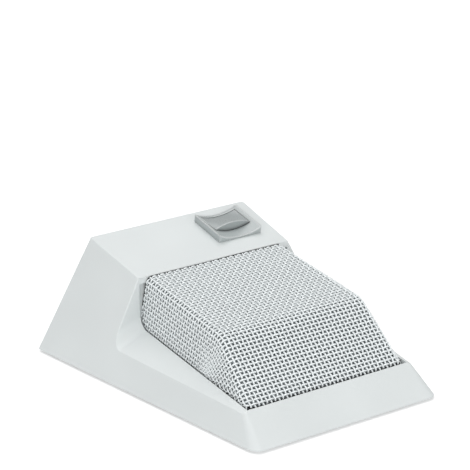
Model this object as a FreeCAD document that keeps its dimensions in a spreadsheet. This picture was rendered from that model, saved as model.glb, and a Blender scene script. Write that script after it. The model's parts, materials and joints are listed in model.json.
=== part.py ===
import FreeCAD, Part
import math
import os

import Sketcher
from FreeCAD import Placement, Rotation, Vector

# Desk microphone with a push-to-talk key.
# Millimetres. Z is up from the desk, the talker sits on the -Y side, X is to the talker's right.
# The origin is the centre of the footprint on the desk.

DRIVING_SIZES = [
    # housing
    ("base_length", 120.9, "housing, front edge to back edge at its foot"),
    ("front_width", 81.0, "housing width at its front edge"),
    ("back_width", 114.9, "housing width at its back edge"),
    ("back_height", 41.9, "housing height at its back"),
    ("foot_stand", 1.0, "gap under the housing's lower edge"),
    ("side_lean", 27.2, "degrees, sides lean inwards"),
    ("back_lean", 5.5, "degrees, back leans forwards"),
    ("front_lean", 50.2, "degrees, front lip leans back"),
    ("top_fall", 11.25, "degrees, top slopes down to the front"),
    ("top_length", 32.5, "flat top, back edge to shoulder"),
    ("shoulder_lean", 2.0, "degrees, shoulder face leans back"),
    ("ledge_height", 9.3, "outer front corner of the side ledge above the lower edge"),
    ("ledge_rise", 4.44, "degrees, ledge rises to the back"),
    ("ledge_fall", 23.05, "degrees, ledge slopes down outwards"),
    ("wall", 2.4, "housing wall"),
    ("shoulder_round", 5.0, "hollow between shoulder and ledge"),
    ("edge_round", 0.5, "small outside edges"),
    ("front_foot_round", 5.5, "upright front corners, lower end"),
    ("front_lip_round", 2.2, "upright front corners, upper end"),
    ("back_corner_round", 1.2, "upright back corners"),
    # wire grille
    ("grille_setback", 12.7, "front edge of the housing to the grille's foot"),
    ("grille_foot_height", 10.1, "grille's foot above the housing's lower edge"),
    ("grille_half_width", 34.9, "at the grille's foot"),
    ("grille_taper", 0.6, "degrees, sides close in to the back"),
    ("grille_side_lean", 7.4, "degrees"),
    ("grille_top_fall", 6.3, "degrees, upper face"),
    ("grille_front_fall", 43.5, "degrees, front face"),
    ("grille_drop", -0.15, "upper face below the housing's top at the shoulder"),
    ("grille_tuck", 5.8, "grille walls below the ledge"),
    ("grille_round", 2.8, "bent edges of the grille"),
    ("wire", 0.72, "wire diameter"),
    ("grille_side_gap", 0.5, "between grille and opening at the ledge"),
    ("opening_side_lean", 0.6, "degrees, sides of the opening for the grille"),
    ("grille_end_gap", 0.5, "between grille and opening, front and back"),
    ("shoulder_recess", 1.2, "shoulder wall behind the grille, set back"),
    ("foam_thick", 2.0, "foam lining"),
    ("foam_gap", 0.2, "grille to foam"),
    # grille frame
    ("frame_thick", 1.6, "frame flange"),
    ("frame_width", 4.0, "flange, inwards from the foam"),
    ("frame_upstand", 2.4, "rib that holds the foam"),
    ("lug_length", 8.0, "screw lug along the frame"),
    ("lug_front", -12.0, "front lugs from the centre"),
    ("lug_back", 12.0, "back lugs from the centre"),
    ("lug_screw_offset", 2.9, "lug screw outside the grille wall"),
    ("lug_reach", 5.0, "lug end outside the grille wall"),
    ("lug_screw_depth", 4.5, "shank of a lug screw"),
    ("lug_boss_height", 5.0, "boss above a lug, into the housing wall"),
    ("lug_seat", 0.3, "screw head below the sloping lug"),
    # base plate and feet
    ("plate_recess", 0.5, "plate above the housing's lower edge"),
    ("plate_thick", 1.5, "steel base plate"),
    ("plate_gap", 0.4, "plate to housing wall"),
    ("foot_radius", 5.0, "rubber foot"),
    ("foot_chamfer", 0.5, ""),
    ("foot_inset", 0.6, "feet from the side edges of the plate"),
    ("front_foot_setback", 12.5, "front feet from the front edge"),
    ("back_foot_setback", 12.0, "back feet from the back edge"),
    ("boss_radius", 3.4, "screw boss in the housing"),
    ("boss_height", 14.0, "screw boss above the plate"),
    ("boss_clearance", 0.6, "heads of the plate screws to the housing wall"),
    ("front_boss_setback", 34.0, "front bosses from the front edge"),
    ("back_boss_setback", 27.0, "back bosses from the back edge"),
    # screws
    ("screw_radius", 1.45, "shank"),
    ("screw_length", 6.0, "shank below the head"),
    ("head_radius", 2.7, "pan head"),
    ("head_height", 0.9, "pan head"),
    ("head_top_radius", 2.15, "pan head, its flat top"),
    ("slot_length", 3.5, "screwdriver slot"),
    ("slot_width", 0.7, "screwdriver slot"),
    ("screw_gap", 0.25, "clearance hole round a shank"),
    # button, measured in the frame of the sloping top
    ("bezel_inset", 6.9, "bezel from the right edge of the top"),
    ("button_setback", 14.65, "bezel centre in front of the top's back edge"),
    ("bezel_width", 19.4, ""),
    ("bezel_depth", 18.0, ""),
    ("bezel_height", 3.05, "bezel corners above the housing's top"),
    ("bezel_sag", 2.3, "hollow across the bezel's top"),
    ("bezel_round", 0.5, ""),
    ("bezel_lip", 0.7, "bezel flange outside its skirt"),
    ("skirt_depth", 5.6, "skirt below the housing's top"),
    ("skirt_gap", 0.2, "skirt to the hole in the housing"),
    ("cap_width", 15.9, ""),
    ("cap_depth", 10.6, ""),
    ("cap_front", 3.3, "cap's front in front of the bezel's centre"),
    ("cap_gap", 0.2, "cap to bezel, sides and back"),
    ("cap_front_gap", 0.45, "cap to bezel, front"),
    ("cap_rise", 1.9, "arch of the cap's front edge"),
    ("cap_corner_height", 2.4, "cap's front corners above the housing's top"),
    ("cap_under", 1.8, "cap's underside below the housing's top"),
    ("pin_radius", 0.6, "hinge pin"),
    ("pin_fit", 0.03, "running clearance round the pin"),
    ("pin_inset", 1.4, "pin in front of the cap's back"),
    ("pin_depth", 0.7, "pin below the housing's top"),
    ("pin_seat", 0.7, "pin ends in the bezel's skirt"),
    ("nub_radius", 1.0, "nub under the cap"),
    ("nub_front", 1.0, "nub in front of the bezel's centre"),
    ("dome_gap", 0.05, "dome to nub at rest"),
    ("dome_foot", 1.7, "radius of the rubber dome on the switch"),
    ("dome_crown", 0.9, "radius of the dome's flat top"),
    ("dome_wall", 0.35, ""),
    ("switch_side", 7.0, "switch body"),
    ("switch_gap", 0.4, "switch body to the bezel"),
    ("switch_height", 4.8, "switch body"),
    ("switch_floor", 9.0, "switch board below the housing's top"),
    ("switch_board_thick", 1.2, ""),
    ("switch_board_width", 31.0, ""),
    ("switch_board_depth", 14.0, ""),
    ("switch_post_offset", 12.4, "switch board posts from the bezel's centre"),
    ("switch_post_radius", 2.5, ""),
    ("spring_wire", 0.35, "return spring"),
    ("spring_radius", 2.2, "return spring, centre of the wire"),
    ("spring_turns", 3.0, ""),
    # capsule
    ("capsule_radius", 4.9, ""),
    ("capsule_height", 6.5, ""),
    ("capsule_window", 3.7, "radius of the recess in the capsule's face"),
    ("capsule_recess", 0.5, "depth of that recess"),
    ("capsule_tilt", 35.0, "degrees, capsule looks up and to the front"),
    ("capsule_z", 16.5, "capsule centre above the desk"),
    ("mount_thick", 1.8, "rubber mount round the capsule"),
    ("mount_margin", 0.3, "capsule's ends past the rubber mount"),
    ("holder_wall", 1.6, "ring of the stand round the rubber mount"),
    ("holder_length", 4.5, "ring of the stand along the capsule's axis"),
    ("stand_width", 2.6, "each upright"),
    ("stand_thick", 3.0, ""),
    ("stand_foot_depth", 12.0, ""),
    ("stand_gap", 5.0, "capsule stand to the board"),
    ("stand_foot_width", 30.0, ""),
    ("stand_foot_thick", 2.0, ""),
    ("stand_screw_offset", 12.2, ""),
    # main board
    ("board_width", 56.0, ""),
    ("part_gap", 1.0, "between neighbours on the board, and to the housing and frame"),
    ("board_margin", 1.4, "board past its front and back parts"),
    ("board_thick", 1.6, ""),
    ("spacer_height", 2.0, "board above the plate"),
    ("spacer_radius", 2.8, ""),
    ("board_screw_inset", 4.0, "from the board's edges"),
    ("transformer_width", 17.0, ""),
    ("transformer_depth", 14.0, ""),
    ("transformer_height", 12.0, ""),
    ("transformer_offset", 7.0, "transformer left of the centre"),
    ("core_overhang", 2.2, "iron core outside the winding"),
    ("core_depth", 7.0, ""),
    ("capacitor_radius", 3.4, ""),
    ("capacitor_height", 9.0, ""),
    ("capacitor_pitch", 7.6, ""),
    ("capacitor_offset", 6.8, "first capacitor right of the centre"),
    ("chip_width", 4.0, ""),
    ("chip_length", 8.6, ""),
    ("chip_height", 1.5, ""),
    ("chip_pitch", 9.0, ""),
    ("chip_offset", 4.5, "first chip left of the centre"),
    ("terminal_width", 16.0, ""),
    ("terminal_depth", 6.0, ""),
    ("terminal_height", 7.0, ""),
    ("terminal_offset", 12.0, "capsule terminal left of the centre"),
    ("header_setback", 6.2, "switch header in front of the bezel's centre"),
    ("header_gap", 3.3, "switch header to the transformer's core"),
    ("ballast_width", 50.0, ""),
    ("ballast_height", 3.6, ""),
    ("ballast_gap", 2.5, "ballast to the capsule stand and the grille frame"),
    ("ballast_screw_offset", 18.0, ""),
    # cable entry
    ("cord_radius", 2.75, "cord that the bush is made for"),
    ("bush_height", 12.0, "bush axis above the desk"),
    ("bush_neck_radius", 4.6, "in the housing's hole"),
    ("bush_flange_radius", 6.4, ""),
    ("bush_flange_thick", 0.9, "outside flange, let into the wall"),
    ("bush_collar_thick", 1.6, "collar inside the wall"),
    # leads inside
    ("lead_radius", 0.9, "inside leads"),
    ("lead_run", 4.9, "leads, first and last stretch"),
    ("lead_dip", 1.0, "capsule lead, its middle below the terminal's"),
    ("lead_offset", 8.0, "switch lead left of the bezel's centre"),
    ("overcut", 4.0, "cutting solids run past what they cut"),
]

DOC = FreeCAD.newDocument("desk_microphone")
NODES = {}


def fill_sheet(name, rows):
    """A spreadsheet with one aliased cell per row; driving cells hold plain numbers."""
    sheet = DOC.addObject("Spreadsheet::Sheet", name)
    for line, (alias, content, note) in enumerate(rows, start=1):
        sheet.set(f"A{line}", note or alias.replace("_", " "))
        sheet.set(f"B{line}", str(content))
        sheet.setAlias(f"B{line}", alias)
    DOC.recompute()
    return sheet


DIMS = fill_sheet("dims", DRIVING_SIZES)

# Worked-out places, as formulas of the driving sizes.
WORKED_PLACES = [
    ("half_length", "=dims.base_length / 2", ""),
    ("side_taper", "=(dims.back_width - dims.front_width) / 2 / dims.base_length", ""),
    ("side_slope", "=tan(dims.side_lean) * sqrt(1 + side_taper^2)", "inwards per height"),
    ("front_slope", "=tan(dims.front_lean)", ""),
    ("back_slope", "=tan(dims.back_lean)", ""),
    ("top_slope", "=tan(dims.top_fall)", ""),
    ("back_top_y", "=dims.base_length / 2 - dims.back_height * tan(dims.back_lean)", ""),
    ("back_top_z", "=dims.foot_stand + dims.back_height", ""),
    ("shoulder_y", "=back_top_y - dims.top_length", ""),
    ("shoulder_z", "=back_top_z - dims.top_length * top_slope", ""),
    ("rise", "=tan(dims.ledge_rise)", "ledge, upwards per length"),
    ("fall", "=tan(dims.ledge_fall)", "ledge, downwards per width"),
    ("lip_y", "=-half_length + dims.ledge_height * front_slope", ""),
    ("lip_x", "=dims.front_width / 2 + side_taper * (lip_y + half_length)"
              " - side_slope * dims.ledge_height", ""),
    ("lip_z", "=dims.foot_stand + dims.ledge_height", ""),
    ("plate_low", "=dims.foot_stand + dims.plate_recess", ""),
    ("plate_top", "=plate_low + dims.plate_thick", ""),
    ("foot_y", "=-half_length + dims.grille_setback", "grille's foot"),
    ("foot_z", "=dims.foot_stand + dims.grille_foot_height", "grille's foot"),
    ("tuck_slope", "=(lip_z + rise * (shoulder_y - lip_y)"
                   " - fall * (dims.grille_half_width - lip_x) - foot_z)"
                   " / (shoulder_y - foot_y)", "line where grille and ledge meet"),
    ("foot_taper", "=tan(dims.grille_taper)", ""),
    ("wall_lean", "=tan(dims.grille_side_lean) * sqrt(1 + foot_taper^2)", ""),
    ("opening_lean", "=tan(dims.opening_side_lean)", ""),
    ("opening_taper", "=foot_taper + (wall_lean - opening_lean) * tuck_slope",
     "keeps the gap beside the grille even along the ledge"),
    ("upper_slope", "=tan(dims.grille_top_fall)", ""),
    ("lower_slope", "=tan(dims.grille_front_fall)", ""),
    ("basket_back", "=shoulder_y - dims.grille_end_gap", ""),
    ("basket_top", "=shoulder_z - dims.grille_drop", "upper face, carried on to the shoulder"),
    ("grille_thick", "=2 * dims.wire", "two wires"),
    ("foam_outside", "=grille_thick + dims.foam_gap", ""),
    ("foam_inside", "=foam_outside + dims.foam_thick", ""),
    ("frame_outside", "=foam_inside + dims.foam_gap", ""),
    ("board_low", "=plate_top + dims.spacer_height", ""),
    ("board_top", "=board_low + dims.board_thick", ""),
    ("parts_back", "=basket_back - frame_outside - dims.frame_width - dims.part_gap",
     "low parts end in front of the grille frame"),
    ("chip_y", "=parts_back - dims.chip_length / 2", ""),
    ("terminal_y", "=chip_y - dims.chip_length / 2 - dims.part_gap - dims.terminal_depth / 2", ""),
    ("transformer_y", "=shoulder_y + dims.wall + dims.part_gap + dims.transformer_depth / 2", ""),
    ("board_front", "=terminal_y - dims.terminal_depth / 2 - dims.board_margin", ""),
    ("board_back", "=transformer_y + dims.transformer_depth / 2 + dims.board_margin", ""),
    ("capsule_y", "=board_front - dims.stand_gap - dims.stand_foot_depth / 2", ""),
    ("ballast_front", "=foot_y + frame_outside + dims.frame_width + dims.ballast_gap", ""),
    ("ballast_back", "=capsule_y - dims.stand_foot_depth / 2 - dims.ballast_gap", ""),
    ("button_y", "=back_top_y - dims.button_setback", ""),
    ("button_z", "=back_top_z - dims.button_setback * top_slope", ""),
    ("pin_y", "=dims.cap_depth - dims.cap_front - dims.pin_inset", "in the top's frame"),
    ("front_boss_y", "=-half_length + dims.front_boss_setback", ""),
    ("back_boss_y", "=half_length - dims.back_boss_setback", ""),
]

PLACES = fill_sheet("places", WORKED_PLACES)


def number(expression):
    """The present value of an expression of the two sheets."""
    result = PLACES.evalExpression(str(expression))
    return float(getattr(result, "Value", result))


def size(alias):
    return number("dims." + alias)


def spot(alias):
    return number("places." + alias)


def new_body(name):
    return DOC.addObject("PartDesign::Body", name)


def origin_plane(body, role):
    return next(item for item in body.Origin.OriginFeatures if item.Role == role)


def attach(body, name, plane, shift, tilt):
    """A sketch on one of the body's own planes, shifted and tilted by expressions."""
    sketch = body.newObject("Sketcher::SketchObject", name)
    sketch.AttachmentSupport = [(origin_plane(body, plane), "")]
    sketch.MapMode = "FlatFace"
    sketch.AttachmentOffset = Placement(Vector(), Rotation(Vector(1, 0, 0), 1))
    for axis, length in zip("xyz", shift):
        sketch.setExpression("AttachmentOffset.Base." + axis, length)
    sketch.setExpression("AttachmentOffset.Rotation.Angle", tilt)
    return sketch


def outline(body, name, corners, plane="XY_Plane", shift=("0", "0", "0"), tilt="0", arcs=None):
    """A closed outline; each corner is a pair of expressions, arcs maps an edge to its rise."""
    sketch = attach(body, name, plane, shift, tilt)
    points = [Vector(number(across), number(up), 0) for across, up in corners]
    count = len(points)
    arcs = arcs or {}
    for index in range(count):
        start, end = points[index], points[(index + 1) % count]
        if index in arcs:
            along = end - start
            left = Vector(-along.y, along.x, 0).normalize()
            middle = (start + end) / 2 + left * number(arcs[index])
            sketch.addGeometry(Part.Arc(start, middle, end), False)
        else:
            sketch.addGeometry(Part.LineSegment(start, end), False)

    def end_of(index, which):
        """An arc that bulges to the left runs clockwise, and is stored from end to start."""
        if index in arcs and number(arcs[index]) > 0:
            return 3 - which
        return which

    for index in range(count):
        following = (index + 1) % count
        sketch.addConstraint(Sketcher.Constraint(
            "Coincident", index, end_of(index, 2), following, end_of(following, 1)))
    for index, (across, up) in enumerate(corners):
        corner = end_of(index, 1)
        for kind, expression in (("DistanceX", across), ("DistanceY", up)):
            bound = sketch.addConstraint(Sketcher.Constraint(
                kind, -1, 1, index, corner, number(expression)))
            sketch.setExpression(f"Constraints[{bound}]", expression)
    for index, rise in arcs.items():
        start, end = corners[index], corners[(index + 1) % count]
        chord = f"(({end[0]}) - ({start[0]}))"
        radius = f"(({chord} / 2)^2 + ({rise})^2) / (2 * abs({rise}))"
        bound = sketch.addConstraint(Sketcher.Constraint("Radius", index, number(radius)))
        sketch.setExpression(f"Constraints[{bound}]", radius)
    return sketch


def rectangle(body, name, width, depth, centre=("0", "0"), **where):
    """A rectangle outline about a centre."""
    left, right = f"({centre[0]}) - ({width}) / 2", f"({centre[0]}) + ({width}) / 2"
    low, high = f"({centre[1]}) - ({depth}) / 2", f"({centre[1]}) + ({depth}) / 2"
    corners = [(left, low), (right, low), (right, high), (left, high)]
    return outline(body, name, corners, **where)


def circles(body, name, radius, centres, plane="XY_Plane", shift=("0", "0", "0"), tilt="0"):
    """Circles of one radius."""
    sketch = attach(body, name, plane, shift, tilt)
    for index, (across, up) in enumerate(centres):
        middle = Vector(number(across), number(up), 0)
        sketch.addGeometry(Part.Circle(middle, Vector(0, 0, 1), number(radius)), False)
        for kind, expression in (("DistanceX", across), ("DistanceY", up)):
            bound = sketch.addConstraint(Sketcher.Constraint(
                kind, -1, 1, index, 3, number(expression)))
            sketch.setExpression(f"Constraints[{bound}]", expression)
        bound = sketch.addConstraint(Sketcher.Constraint("Radius", index, number(radius)))
        sketch.setExpression(f"Constraints[{bound}]", radius)
    return sketch


def pad(body, sketch, length, both_ways=False):
    feature = body.newObject("PartDesign::Pad", sketch.Name + "_pad")
    feature.Profile = sketch
    feature.Midplane = both_ways
    feature.setExpression("Length", length)
    DOC.recompute()
    return feature


def pocket(body, sketch, depth=None, reverse=False):
    """A pocket to a depth, or right through both ways; it has to take material away."""
    before = body.Shape.Volume
    feature = body.newObject("PartDesign::Pocket", sketch.Name + "_pocket")
    feature.Profile = sketch
    feature.Reversed = reverse
    if depth is None:
        feature.Type = "ThroughAll"
        feature.Midplane = True
    else:
        feature.setExpression("Length", depth)
    DOC.recompute()
    if body.Shape.Volume >= before:
        raise ValueError(sketch.Name + " cuts nothing")
    return feature


def loft(body, first, second):
    feature = body.newObject("PartDesign::AdditiveLoft", first.Name + "_loft")
    feature.Profile = first
    feature.Sections = [second]
    feature.Ruled = True
    DOC.recompute()
    return feature


def turned(body, corners, plane="XZ_Plane", axis="V_Axis", **where):
    """A revolved outline; the corners lie on one side of the axis."""
    sketch = outline(body, body.Name + "_section", corners, plane=plane, **where)
    feature = body.newObject("PartDesign::Revolution", body.Name + "_turned")
    feature.Profile = sketch
    feature.ReferenceAxis = (sketch, [axis])
    feature.Angle = 360
    DOC.recompute()
    return feature


def combine(kind, name, parts):
    """Part::MultiFuse or Part::MultiCommon of several objects."""
    feature = DOC.addObject(kind, name)
    feature.Shapes = parts
    DOC.recompute()
    return feature


def fused(name, *parts):
    return combine("Part::MultiFuse", name, list(parts))


def shared(name, *parts):
    return combine("Part::MultiCommon", name, list(parts))


def cut(name, base, tool):
    """Base less tool; the tool has to reach the base."""
    feature = DOC.addObject("Part::Cut", name)
    feature.Base = base
    feature.Tool = tool
    DOC.recompute()
    if feature.Shape.Volume >= base.Shape.Volume:
        raise ValueError(name + " cuts nothing")
    return feature


def nearest(pieces, point):
    """Number of the edge or face that lies nearest to a point."""
    probe = Part.Vertex(Vector(*point))
    gaps = [piece.distToShape(probe)[0] for piece in pieces]
    return gaps.index(min(gaps)) + 1


def rounded(name, base, *rules):
    """Part::Fillet; each rule is a list of points and the radius of the edges nearest to them.

    A pair of radii is for a low end and a high end.
    """
    feature = DOC.addObject("Part::Fillet", name)
    feature.Base = base
    chosen = {}
    for points, radius in rules:
        for point in points:
            edge = nearest(base.Shape.Edges, point)
            low, high = radius if isinstance(radius, tuple) else (radius, radius)
            first, last = base.Shape.Edges[edge - 1].Vertexes
            chosen[edge] = (edge, low, high) if first.Z < last.Z else (edge, high, low)
    feature.Edges = [chosen[edge] for edge in sorted(chosen)]
    DOC.recompute()
    return feature


def set_down(item, x="0", y="0", z="0", tilt=None):
    """Bind an object's place, and a turn about X where it has one, to expressions."""
    item.Placement = Placement(Vector(), Rotation(Vector(1, 0, 0), 1 if tilt else 0))
    for axis, expression in zip("xyz", (x, y, z)):
        item.setExpression("Placement.Base." + axis, str(expression))
    if tilt:
        item.setExpression("Placement.Rotation.Angle", tilt)
    DOC.recompute()
    return item


def on_top(item):
    """Place an object that is drawn in the frame of the sloping top, at the bezel's centre."""
    return set_down(item, BUTTON_X, "places.button_y", "places.button_z",
                    "dims.top_fall")


def cylinder(name, radius, height, x="0", y="0", z="0"):
    item = DOC.addObject("Part::Cylinder", name)
    item.setExpression("Radius", radius)
    item.setExpression("Height", height)
    return set_down(item, x, y, z)


def block(name, width, depth, height, x="0", y="0", z="0"):
    """A box centred on x and y that stands on z."""
    item = DOC.addObject("Part::Box", name)
    for side, expression in (("Length", width), ("Width", depth), ("Height", height)):
        item.setExpression(side, expression)
    return set_down(item, f"({x}) - ({width}) / 2", f"({y}) - ({depth}) / 2", z)


def node(item, name):
    """Name a finished piece."""
    item.Label = name
    NODES[name] = item
    return item


def group(name, pieces):
    """Like pieces that share a node, as separate solids."""
    compound = DOC.addObject("Part::Compound", name)
    compound.Links = pieces
    DOC.recompute()
    return node(compound, name)


# Housing planes. Each function gives an expression; inset moves the plane inwards.

def half_width(y, z, inset="0"):
    return (f"(dims.front_width / 2 + places.side_taper * (({y}) + places.half_length)"
            f" - places.side_slope * (({z}) - dims.foot_stand)"
            f" - ({inset}) * sqrt(1 + places.side_slope^2 + places.side_taper^2))")


def front_at(z, inset="0"):
    return (f"(-places.half_length + (({z}) - dims.foot_stand) * places.front_slope"
            f" + ({inset}) / cos(dims.front_lean))")


def back_at(z, inset="0"):
    return (f"(places.half_length - (({z}) - dims.foot_stand) * places.back_slope"
            f" - ({inset}) / cos(dims.back_lean))")


def top_at(y, inset="0"):
    return (f"(places.back_top_z - (places.back_top_y - ({y})) * places.top_slope"
            f" - ({inset}) / cos(dims.top_fall))")


def ledge_at(x, y, inset="0"):
    return (f"(places.lip_z + places.rise * (({y}) - places.lip_y)"
            f" - places.fall * (({x}) - places.lip_x)"
            f" - ({inset}) * sqrt(1 + places.rise^2 + places.fall^2))")


BUTTON_X = (f"({half_width('places.button_y', 'places.button_z')} - dims.bezel_inset"
            f" - dims.bezel_width / 2)")


def drafted(name, low, high, front, back, width_at, lean):
    """A block whose two sides lean inwards; width_at(y, z) gives its half width."""
    body = new_body(name)
    corners = [(f"-{width_at(front, low)}", front), (width_at(front, low), front),
               (width_at(back, low), back), (f"-{width_at(back, low)}", back)]
    plan = outline(body, name + "_plan", corners, shift=("0", "0", low))
    upright = pad(body, plan, f"({high}) - ({low})")
    middle_z = (number(low) + number(high)) / 2
    middle_y = (number(front) + number(back)) / 2
    sides = [nearest(upright.Shape.Faces, (side * number(width_at(middle_y, low)), middle_y, middle_z))
             for side in (-1, 1)]
    leaning = body.newObject("PartDesign::Draft", name + "_draft")
    leaning.Base = (upright, [f"Face{face}" for face in sides])
    leaning.NeutralPlane = (plan, [""])
    leaning.Reversed = False
    leaning.setExpression("Angle", lean)
    DOC.recompute()
    if leaning.Shape.Volume > upright.Shape.Volume:
        leaning.Reversed = True
        DOC.recompute()
    return body


def side_slab(name, corners, width):
    """A side view outline in Y and Z, as wide as given."""
    body = new_body(name)
    pad(body, outline(body, name + "_side", corners, plane="YZ_Plane"), width, both_ways=True)
    return body


def ledge_cutter(name, side, inset, radius):
    """What is taken away above one ledge and in front of the shoulder, its inner edge rounded."""
    body = new_body(name)
    outer_x = "(dims.back_width / 2 + dims.overcut)"
    plane_y = f"(places.shoulder_y + ({inset}) / cos(dims.shoulder_lean))"
    lean = "(cos(dims.shoulder_lean) - places.rise * sin(dims.shoulder_lean))"

    def on_shoulder(x):
        return f"({ledge_at(x, plane_y, inset)} - places.shoulder_z) / {lean}"

    shoulder = outline(
        body, name + "_shoulder",
        [("0", on_shoulder("0")), (f"{side} * {outer_x}", on_shoulder(outer_x)),
         (f"{side} * {outer_x}", "dims.overcut"), ("0", "dims.overcut")],
        plane="XZ_Plane", shift=("0", "places.shoulder_z", f"-{plane_y}"),
        tilt="-dims.shoulder_lean")
    solid = pad(body, shoulder, "dims.base_length")
    solid.UseCustomVector = True
    solid.Direction = Vector(0, -1, -spot("rise"))
    DOC.recompute()
    middle_x = f"({outer_x} / 2)"
    down = number(on_shoulder(middle_x))
    lean_angle = math.radians(size("shoulder_lean"))
    on_edge = (side * number(middle_x), number(plane_y) + down * math.sin(lean_angle),
               spot("shoulder_z") + down * math.cos(lean_angle))
    hollow = body.newObject("PartDesign::Fillet", name + "_hollow")
    hollow.Base = (solid, [f"Edge{nearest(solid.Shape.Edges, on_edge)}"])
    hollow.setExpression("Radius", radius)
    DOC.recompute()
    return body


def housing_form(name, inset, low, hollow_radius):
    """The housing's outer form, or its hollow when every plane is moved in by the wall."""
    def width_at(y, z):
        return half_width(y, z, inset)

    high = "(places.back_top_z + dims.overcut)"
    sides = drafted(name + "_sides", low, high, "(-places.half_length - dims.overcut)",
                    "(places.half_length + dims.overcut)", width_at, "dims.side_lean")
    crown = f"({top_at('0', inset)})"
    back_z = (f"(({crown} + places.top_slope * (places.half_length - ({inset}) / cos(dims.back_lean))"
              f" + places.top_slope * places.back_slope * dims.foot_stand)"
              f" / (1 + places.top_slope * places.back_slope))")
    apex_y = (f"(({crown} - dims.foot_stand"
              f" - (places.half_length - ({inset}) / cos(dims.front_lean)) / places.front_slope)"
              f" / (1 / places.front_slope - places.top_slope))")
    profile = side_slab(name + "_profile", [
        (front_at(low, inset), low), (back_at(low, inset), low),
        (back_at(back_z, inset), back_z), (apex_y, top_at(apex_y, inset))], "dims.back_width")
    wedge = shared(name + "_wedge", sides, profile)
    cutters = [ledge_cutter(f"{name}_cutter_{word}", side, inset, hollow_radius)
               for word, side in (("left", -1), ("right", 1))]
    return cut(name, wedge, fused(name + "_cutters", *cutters))


# Grille planes.

def grille_half(y, z, inset="0"):
    return (f"(dims.grille_half_width - places.foot_taper * (({y}) - places.foot_y)"
            f" - places.wall_lean * (({z}) - places.foot_z)"
            f" - ({inset}) * sqrt(1 + places.wall_lean^2 + places.foot_taper^2))")


def tuck_at(y):
    """Lower edge of the grille, parallel to the line where it meets the ledge."""
    return f"(places.foot_z - dims.grille_tuck + places.tuck_slope * (({y}) - places.foot_y))"


def grille_block(name, inset, front, back, low="places.plate_top"):
    def width_at(y, z):
        return grille_half(y, z, inset)
    return drafted(name, low, "(places.shoulder_z + dims.overcut)", front, back, width_at,
                   "dims.grille_side_lean")


def basket(name, inset, radius, past="0"):
    """The bent grille as a solid, every face moved in by inset; past runs it out at the open ends."""
    front = f"(places.foot_y + ({inset}))"
    back = f"(places.basket_back + ({past}))"
    step = (f"(({inset}) / cos(dims.grille_front_fall) - ({inset}) / cos(dims.grille_top_fall))")
    knee_y = (f"((places.basket_top - places.upper_slope * places.shoulder_y - places.foot_z"
              f" + places.lower_slope * places.foot_y + {step})"
              f" / (places.lower_slope - places.upper_slope))")

    def lower_face(y):
        return (f"(places.foot_z + places.lower_slope * (({y}) - places.foot_y)"
                f" - ({inset}) / cos(dims.grille_front_fall))")

    def upper_face(y):
        return (f"(places.basket_top - places.upper_slope * (places.shoulder_y - ({y}))"
                f" - ({inset}) / cos(dims.grille_top_fall))")

    sides = grille_block(name + "_sides", inset, "(places.foot_y - dims.overcut)",
                         "(places.shoulder_y + 2 * dims.overcut)", "places.plate_top")
    profile = side_slab(name + "_profile", [
        (front, f"{tuck_at(front)} - ({past})"), (front, lower_face(front)),
        (knee_y, lower_face(knee_y)), (back, upper_face(back)),
        (back, f"{tuck_at(back)} - ({past})")], "dims.back_width")
    form = shared(name + "_form", sides, profile)
    knee = Vector(0, number(knee_y), number(lower_face(knee_y)))
    points = [knee]
    for side in (-1, 1):
        upper_y = (number(knee_y) + number(back)) / 2
        lower_y = (number(knee_y) + number(front)) / 2
        upper_z, lower_z = number(upper_face(upper_y)), number(lower_face(lower_y))
        below_foot = number(lower_face(front)) - size("grille_tuck") / 2
        points += [
            (side * number(grille_half(upper_y, upper_z, inset)), upper_y, upper_z),
            (side * number(grille_half(lower_y, lower_z, inset)), lower_y, lower_z),
            (side * number(grille_half(front, below_foot, inset)), number(front), below_foot)]
    return rounded(name, form, (points, radius)) if radius > 0 else form


# Housing.

def corner_point(side, z, y):
    return side * number(half_width(y, z)), number(y), number(z)


outer_sharp = housing_form("outer", "0", "dims.foot_stand", "dims.shoulder_round")
lip_middle = "(dims.foot_stand + dims.ledge_height / 2)"
back_middle = "(dims.foot_stand + dims.back_height / 2)"
outer_corners = rounded(
    "outer_corners", outer_sharp,
    ([corner_point(side, lip_middle, front_at(lip_middle)) for side in (-1, 1)],
     (size("front_foot_round"), size("front_lip_round"))),
    ([corner_point(side, back_middle, back_at(back_middle)) for side in (-1, 1)],
     size("back_corner_round")))
shoulder_middle = (size("shoulder_lean"), "(places.shoulder_z - 2 * dims.shoulder_round)")
steep_points = [corner_point(side, shoulder_middle[1],
                             "places.shoulder_y - 2 * dims.shoulder_round * tan(dims.shoulder_lean)")
                for side in (-1, 1)]
outer = rounded(
    "outer_rounded", outer_corners,
    ([(0, spot("back_top_y"), spot("back_top_z")), (0, spot("shoulder_y"), spot("shoulder_z"))]
     + steep_points, size("edge_round")))
hollow = housing_form("hollow", "dims.wall", "(dims.foot_stand - dims.overcut)",
                      "(dims.shoulder_round + dims.wall)")
shell = cut("shell", outer, hollow)


def boss_x(y):
    wall = half_width(y, "places.plate_low", "dims.wall")
    return f"({wall} - dims.head_radius - dims.boss_clearance)"


PLATE_SCREWS = [(f"{side} * {boss_x(y)}", y)
                for y in ("places.front_boss_y", "places.back_boss_y") for side in (-1, 1)]
LUGS = [(side, f"dims.lug_{row}") for row in ("front", "back") for side in (-1, 1)]


def lug_x(side, y, further="0"):
    return f"({side} * ({grille_half(y, tuck_at(y))} + ({further})))"


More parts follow.
